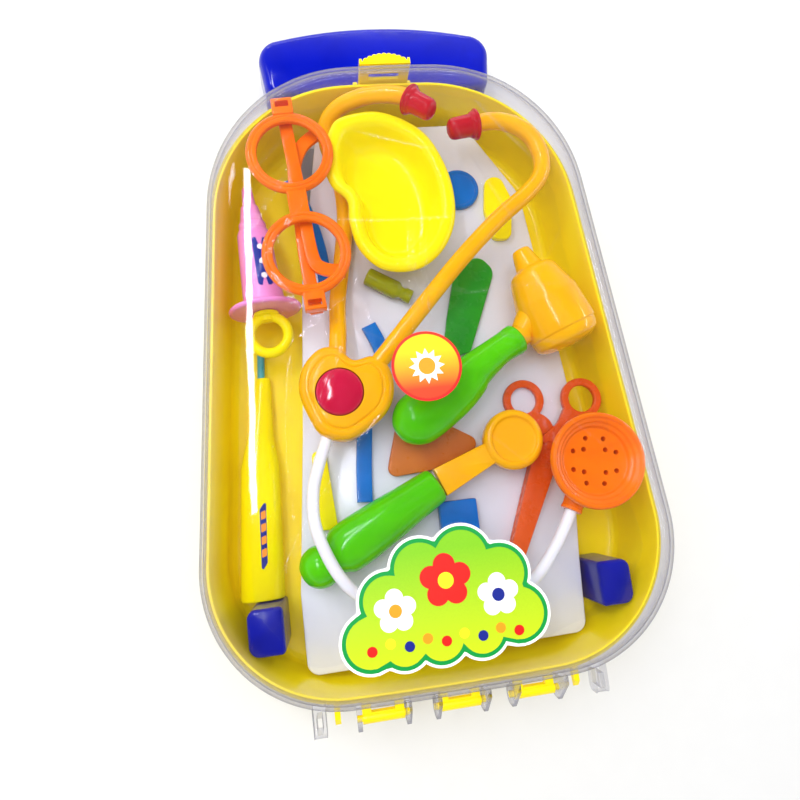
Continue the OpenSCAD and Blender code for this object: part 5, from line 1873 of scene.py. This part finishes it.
@dataclass
class Labels(SubAssembly):
    """Plain printed stickers of generic shapes, with no words, where a toy has stickers."""

    lid: Lid = field(default_factory=Lid)
    film: float = 0.07

    def patch(self, name: str, outline: Array, level: int, finish: Finish) -> None:
        """One layer of print on the lid.

        Args:
            name: Name of the piece.
            outline: Its anticlockwise outline.
            level: How many layers lie below it.
            finish: Its ink.
        """
        over = draped(outline, lambda at: self.lid.surface(at) + 0.02 + level * self.film,
                      self.film)
        self.make(f"label_{name}", [over], finish, Body.LID)

    def flower(self, name: str, at: tuple[float, float], size: float, level: int,
               petals: Finish, heart: Finish) -> None:
        """A plain flower with five petals.

        Args:
            name: Name of the pieces.
            at: Its middle.
            size: Half its width.
            level: How many layers lie below it.
            petals: Ink of the petals.
            heart: Ink of its middle.
        """
        lobes = points(*[(x, y, size * 0.42) for x, y in ring_of(at, size * 0.58, 5)])
        self.patch(f"{name}_petals", bumpy(at, lobes, 100), level, petals)
        self.patch(f"{name}_heart", disc(*at, size * 0.3), level + 1, heart)

    def build_round(self) -> None:
        """Builds the round sticker with a plain sun."""
        x, y = -0.8, -8.4
        self.patch("round_red", disc(x, y, 18.3), 0, RED_FILM)
        self.patch("round_sun", disc(x, y, 16.8), 1, SUN_FILM)
        turn = np.radians(np.arange(0, 360, 15))
        reach = np.where(np.arange(24) % 2 == 0, 9.4, 6.2)
        star = np.column_stack([x + reach * np.cos(turn), y + reach * np.sin(turn)])
        self.patch("round_star", star, 2, WHITE_FILM)
        self.patch("round_dot", disc(x, y, 4.4), 3, ORANGE_FILM)

    def build_cloud(self) -> None:
        """Builds the bushy sticker with three plain flowers over a row of dots."""
        middle = (-8.0, -128.0)
        lobes = points((-44, -139, 14), (-34, -121, 14), (-17, -108, 14.5), (4, -105, 15),
                       (22, -115, 14.5), (29, -135, 14.5), (-28, -142, 12), (-10, -141.5, 12.5),
                       (10, -141, 12.5))
        self.patch("cloud_white", bumpy(middle, lobes + [0, 0, 1.4]), 0, WHITE_FILM)
        self.patch("cloud_edge", bumpy(middle, lobes), 1, GREEN_FILM)
        self.patch("cloud_field", bumpy(middle, lobes - [0, 0, 2.0]), 2, LIME_FILM)
        self.flower("flower_left", (-31, -126), 10.5, 3, WHITE_FILM, ORANGE_FILM)
        self.flower("flower_middle", (-5, -115), 13, 3, RED_FILM, YELLOW_FILM)
        self.flower("flower_right", (20, -125), 10.5, 3, WHITE_FILM, NAVY_FILM)
        inks = (RED_FILM, YELLOW_FILM, NAVY_FILM, ORANGE_FILM)
        for i in range(9):
            self.patch(f"dot_{i}", disc(-44 + 9 * i, -143 + 2.4 * (i % 2), 2.5), 3, inks[i % 4])

    def build_barrel(self) -> None:
        """Builds the navy patch on the syringe, with plain marks."""
        tip, end = np.array([-88.5, 121.0]), np.array([-83.6, 43.8])
        way = unit(end - tip)
        side = np.array([-way[1], way[0]])

        def over(level: float) -> Callable[[Array], Array]:
            """Heights of the barrel's top, that much higher."""
            def height(at: Array) -> Array:
                """Heights at rows of X and Y."""
                off = (at - tip) @ side
                radius = np.interp((at - tip) @ way, [31, 60, 73], [9.8, 11.4, 12])
                return 27.42 + level + np.sqrt(np.maximum(radius**2 - off**2, 4.0))
            return height

        def flat(corners: Array, radius: float) -> Array:
            """An outline given along and across the barrel."""
            turned = tip + corners[:, :1] * way + corners[:, 1:] * side
            return anticlockwise(rounded(anticlockwise(turned), [radius] * len(corners), 6))

        patch = flat(points((36, -1), (66, -1), (66, 7.4), (36, 7.4)), 2)
        self.make("label_barrel", [draped(patch, over(0.02), 0.06)], NAVY_FILM)
        for i in range(3):
            dot = tip + (42 + 9 * i) * way + 3.2 * side
            self.make(f"label_barrel_dot_{i}", [draped(disc(*dot, 1.7), over(0.09), 0.05, 3)],
                      WHITE_FILM)

    def build_body(self) -> None:
        """Builds the slanted navy patch on the thermometer, with four orange squares."""
        def over(level: float) -> Callable[[Array], Array]:
            """Heights of the body's top, that much higher."""
            def height(at: Array) -> Array:
                """Heights at rows of X and Y."""
                middle = np.interp(at[:, 1], [-121, -46], [-100.5, -96.2])
                high = np.interp(at[:, 1], [-121, -46], [17.6, 16.0])
                share = np.clip(np.abs(at[:, 0] - middle) / 11.8, 0, 0.9) ** 1.25
                return 2.5 + high / 2 * (1 + (1 - share**2) ** 0.45) + level
            return height

        patch = rounded(points((-99, -106), (-95.4, -101), (-93.6, -66), (-97.6, -71)), [0.8] * 4)
        self.make("label_body", [draped(patch, over(0.02), 0.06)], NAVY_FILM)
        for i in range(4):
            y = -98 + 7 * i
            x = -98.2 + 0.33 * i
            mark = rounded(points((x, y), (x + 2.8, y + 1), (x + 3, y + 5.4), (x + 0.2, y + 4.4)),
                           [0.4] * 4, 4)
            self.make(f"label_body_mark_{i}", [draped(mark, over(0.09), 0.05, 3)], ORANGE_FILM)

    def build(self) -> None:
        """Builds every sticker."""
        self.build_round()
        self.build_cloud()
        self.build_barrel()
        self.build_body()


@dataclass
class ClearBag(SubAssembly):
    """Upper sheet of the crinkled clear bag that the instruments are packed in.

    Attributes:
        plan: The case's outline.
        inset: How far the sheet is drawn in from that outline.
        level: Height of the sheet between its folds.
        fold_height: Factor on the height of a fold.
        fold_count: Number of folds.
        fold_limit: How far a fold may rise.
        edge_count: Points round its edge.
    """

    plan: CasePlan = field(default_factory=CasePlan)
    inset: float = 27.0
    level: float = 70.4
    fold_height: float = 1.5
    fold_count: int = 40
    fold_limit: float = 1.9
    edge_count: int = 400

    def height(self, at: Array) -> Array:
        """Heights of the sheet with its long folds.

        Args:
            at: Rows of X and Y.

        Returns:
            One height a row.
        """
        x, y = at[:, 0], at[:, 1]
        found = self.level + 0.2 * np.sin(x / 11 + np.sin(y / 19)) + 0.2 * np.sin(y / 13 + x / 31)
        chance = np.random.default_rng(4)
        for _ in range(self.fold_count):
            x0, y0 = chance.uniform(-85, 85), chance.uniform(-140, 130)
            turn, wide = chance.uniform(0, math.pi), chance.uniform(1.1, 2.4)
            long, high = chance.uniform(14, 50), chance.uniform(0.3, 1.0)
            along = (x - x0) * math.cos(turn) + (y - y0) * math.sin(turn)
            across = (y - y0) * math.cos(turn) - (x - x0) * math.sin(turn) + (along / 28) ** 2
            found += high * self.fold_height * np.exp(-((across / wide) ** 2)
                                                      - (along / long) ** 4)
        return np.minimum(found, self.level + self.fold_limit)

    def build(self) -> None:
        """Builds the sheet."""
        edge = self.plan.outline(self.inset)
        edge = np.vstack([edge, edge[:1]])
        run = np.concatenate([[0], np.cumsum(np.linalg.norm(np.diff(edge, axis=0), axis=1))])
        even = np.linspace(0, run[-1], self.edge_count, endpoint=False)
        outline = np.column_stack([np.interp(even, run, edge[:, i]) for i in (0, 1)])
        turn = np.linspace(0, 2 * math.pi, self.edge_count, endpoint=False)
        wavy = outline * (1 + 0.012 * np.sin(9 * turn) + 0.008 * np.sin(23 * turn + 1))[:, None]
        self.make("bag_sheet", [draped(wavy, self.height, 0.05, 110)], BAG_FILM)


# ---------- studio ----------


@dataclass
class Studio:
    """Camera, floor, lamps and world.

    Attributes:
        camera_at: Place of the camera in metres.
        camera_turn: Its turn about X, Y and Z in radians.
        lens_mm: Its focal length.
        sensor_mm: Width of its sensor.
        world_light: Strength of the even light from all round.
        ceiling_light: Strength that gloss sees straight above the case.
        floor_half: Half the width of the floor in metres.
        floor_z: Its height in metres, just below the case.
        floor_colours: The two ends of its grain.
        floor_white: Share of plain white that the camera sees in it.
    """

    camera_at: tuple[float, float, float] = (-0.0531228, -0.0683192, 0.3741448)
    camera_turn: tuple[float, float, float] = (0.158, -0.1036, -0.1185)
    lens_mm: float = 27.0
    sensor_mm: float = 36.0
    world_light: float = 0.62
    ceiling_light: float = 0.07
    floor_half: float = 4.0
    floor_z: float = -0.0004
    floor_colours: tuple[str, str] = ("#dcdcdc", "#e0e0e0")
    floor_white: float = 0.25

    def build_camera(self) -> None:
        """Sets up the camera at the photograph's angle."""
        data = bpy.data.cameras.new("camera")
        data.lens, data.sensor_width = self.lens_mm, self.sensor_mm
        data.clip_start, data.clip_end = 0.01, 50.0
        camera = bpy.data.objects.new("camera", data)
        camera.location = self.camera_at
        camera.rotation_euler = Euler(self.camera_turn, "XYZ")
        bpy.context.scene.collection.objects.link(camera)
        bpy.context.scene.camera = camera

    def lamp(
        self,
        name: str,
        at: tuple[float, float, float],
        size: tuple[float, float],
        power: float,
        mirrored: bool = True,
        aim: tuple[float, float, float] = (0, 0, 0.04),
    ) -> None:
        """A rectangular soft lamp that points at the case.

        Args:
            name: Name of the lamp.
            at: Its place in metres.
            size: Its width and height in metres.
            power: Its power in watts.
            mirrored: Whether glossy surfaces show it.
            aim: The place it points at.
        """
        data = bpy.data.lights.new(name, "AREA")
        data.shape, data.size, data.size_y, data.energy = "RECTANGLE", *size, power
        made = bpy.data.objects.new(name, data)
        made.location = at
        made.rotation_euler = (Vector(aim) - Vector(at)).to_track_quat("-Z", "Y").to_euler()
        made.visible_glossy = mirrored
        bpy.context.scene.collection.objects.link(made)

    def build_world(self) -> None:
        """Pale even light, and a white background for the camera and reflections."""
        world = bpy.data.worlds.new("studio")
        world.use_nodes = True
        tree = world.node_tree
        tree.nodes.clear()
        path = add_node(tree, "ShaderNodeLightPath", {})
        light = add_node(tree, "ShaderNodeBackground", {
            "Color": WHITE, "Strength": self.world_light})
        # Gloss shows the white backdrop all round, and the dim ceiling straight above it.
        way = add_node(tree, "ShaderNodeTexCoord", {}).outputs["Generated"]
        rise = add_node(tree, "ShaderNodeSeparateXYZ", {0: way}).outputs[2]
        ceiling = add_node(tree, "ShaderNodeMapRange", {
            "Value": rise, "From Min": 0.2, "From Max": 0.8, "To Min": 1.0,
            "To Max": self.ceiling_light})
        room = add_node(tree, "ShaderNodeBackground", {
            "Color": WHITE, "Strength": ceiling.outputs[0]})
        seen = add_node(tree, "ShaderNodeBackground", {"Color": WHITE, "Strength": 1.0})
        around = add_node(tree, "ShaderNodeMixShader", {
            0: path.outputs["Is Glossy Ray"], 1: light.outputs[0], 2: room.outputs[0]})
        direct = add_node(tree, "ShaderNodeMath", {
            0: path.outputs["Is Camera Ray"], 1: path.outputs["Is Transmission Ray"]},
            operation="MAXIMUM")
        both = add_node(tree, "ShaderNodeMixShader", {
            0: direct.outputs[0], 1: around.outputs[0], 2: seen.outputs[0]})
        add_node(tree, "ShaderNodeOutputWorld", {"Surface": both.outputs[0]})
        bpy.context.scene.world = world

    def build_floor(self) -> None:
        """A broad pale floor that keeps the soft shadow of the case."""
        mesh = bpy.data.meshes.new("floor")
        half, z = self.floor_half, self.floor_z
        mesh.from_pydata([(-half, -half, z), (half, -half, z), (half, half, z), (-half, half, z)],
                         [], [(0, 1, 2, 3)])
        floor = bpy.data.objects.new("floor", mesh)
        bpy.context.scene.collection.objects.link(floor)
        made, tree, place = new_tree("matt_studio_floor")
        grain = add_node(tree, "ShaderNodeTexNoise", {"Vector": place, "Scale": 60.0})
        tone = add_node(tree, "ShaderNodeMix", {
            "Factor": grain.outputs["Fac"], COLOUR_A: linear(self.floor_colours[0]),
            COLOUR_B: linear(self.floor_colours[1])}, data_type="RGBA")
        matt = add_node(tree, "ShaderNodeBsdfDiffuse", {"Color": tone.outputs[2]})
        white = add_node(tree, "ShaderNodeEmission", {"Color": WHITE, "Strength": 1.0})
        path = add_node(tree, "ShaderNodeLightPath", {})
        first = add_node(tree, "ShaderNodeMath", {
            0: path.outputs["Is Camera Ray"], 1: path.outputs["Is Transmission Ray"]},
            operation="MAXIMUM")
        share = add_node(tree, "ShaderNodeMath", {0: first.outputs[0], 1: self.floor_white},
                         operation="MULTIPLY")
        both = add_node(tree, "ShaderNodeMixShader", {
            0: share.outputs[0], 1: matt.outputs[0], 2: white.outputs[0]})
        add_node(tree, "ShaderNodeOutputMaterial", {"Surface": both.outputs[0]})
        mesh.materials.append(made)

    def build(self) -> None:
        """Builds the whole studio."""
        self.build_camera()
        self.build_world()
        self.build_floor()
        self.lamp("overhead_softbox", (-0.1, 0.1, 1.2), (0.9, 0.9), 8.0, mirrored=False)
        self.lamp("key_softbox", (-0.8, 0.5, 0.9), (0.7, 0.7), 4.4, mirrored=False)
        self.lamp("strip_left", (-0.33, 0.3, 0.9), (0.75, 0.035), 2.6, aim=(0, 0.3, 0.04))
        self.lamp("window_left", (-0.6, 0.8, 1.0), (0.16, 0.16), 1.1)
        self.lamp("strip_right", (1.1, 0.1, 0.5), (0.8, 0.05), 1.8)
        self.lamp("strip_back", (0.0, 1.2, 0.5), (0.8, 0.05), 1.2)
        scene = bpy.context.scene
        scene.view_settings.view_transform = "Standard"
        scene.cycles.max_bounces = 16
        scene.cycles.transparent_max_bounces = 32


def main() -> None:
    """Builds the studio, the case and every instrument in order."""
    logging.basicConfig(level=logging.INFO, format="%(message)s")
    Studio().build()
    base = Base()
    lid = Lid(base=base)
    groups: list[SubAssembly] = [
        Stethoscope(), base, lid, Latch(), PullHandle(), InsertTray(), Glasses(),
        KidneyDish(), Otoscope(), Mirror(), Syringe(), Thermometer(), Scissors(),
        FlatInstruments(), Labels(lid=lid), ClearBag(plan=base.plan)]
    for group in groups:
        group.build()
    kept = {
        GREY_ROD: ("rod_left", "rod_right"),
        GREY_GUIDE: ("rod_guide_left", "rod_guide_right"),
        BLACK_WHEEL: ("wheel_left", "wheel_right"),
        STEEL: ("axle_left", "axle_right"),
    }
    for finish, nodes in kept.items():
        for node in nodes:
            dress_node(node, finish)


if __name__ == "__main__":
    main()
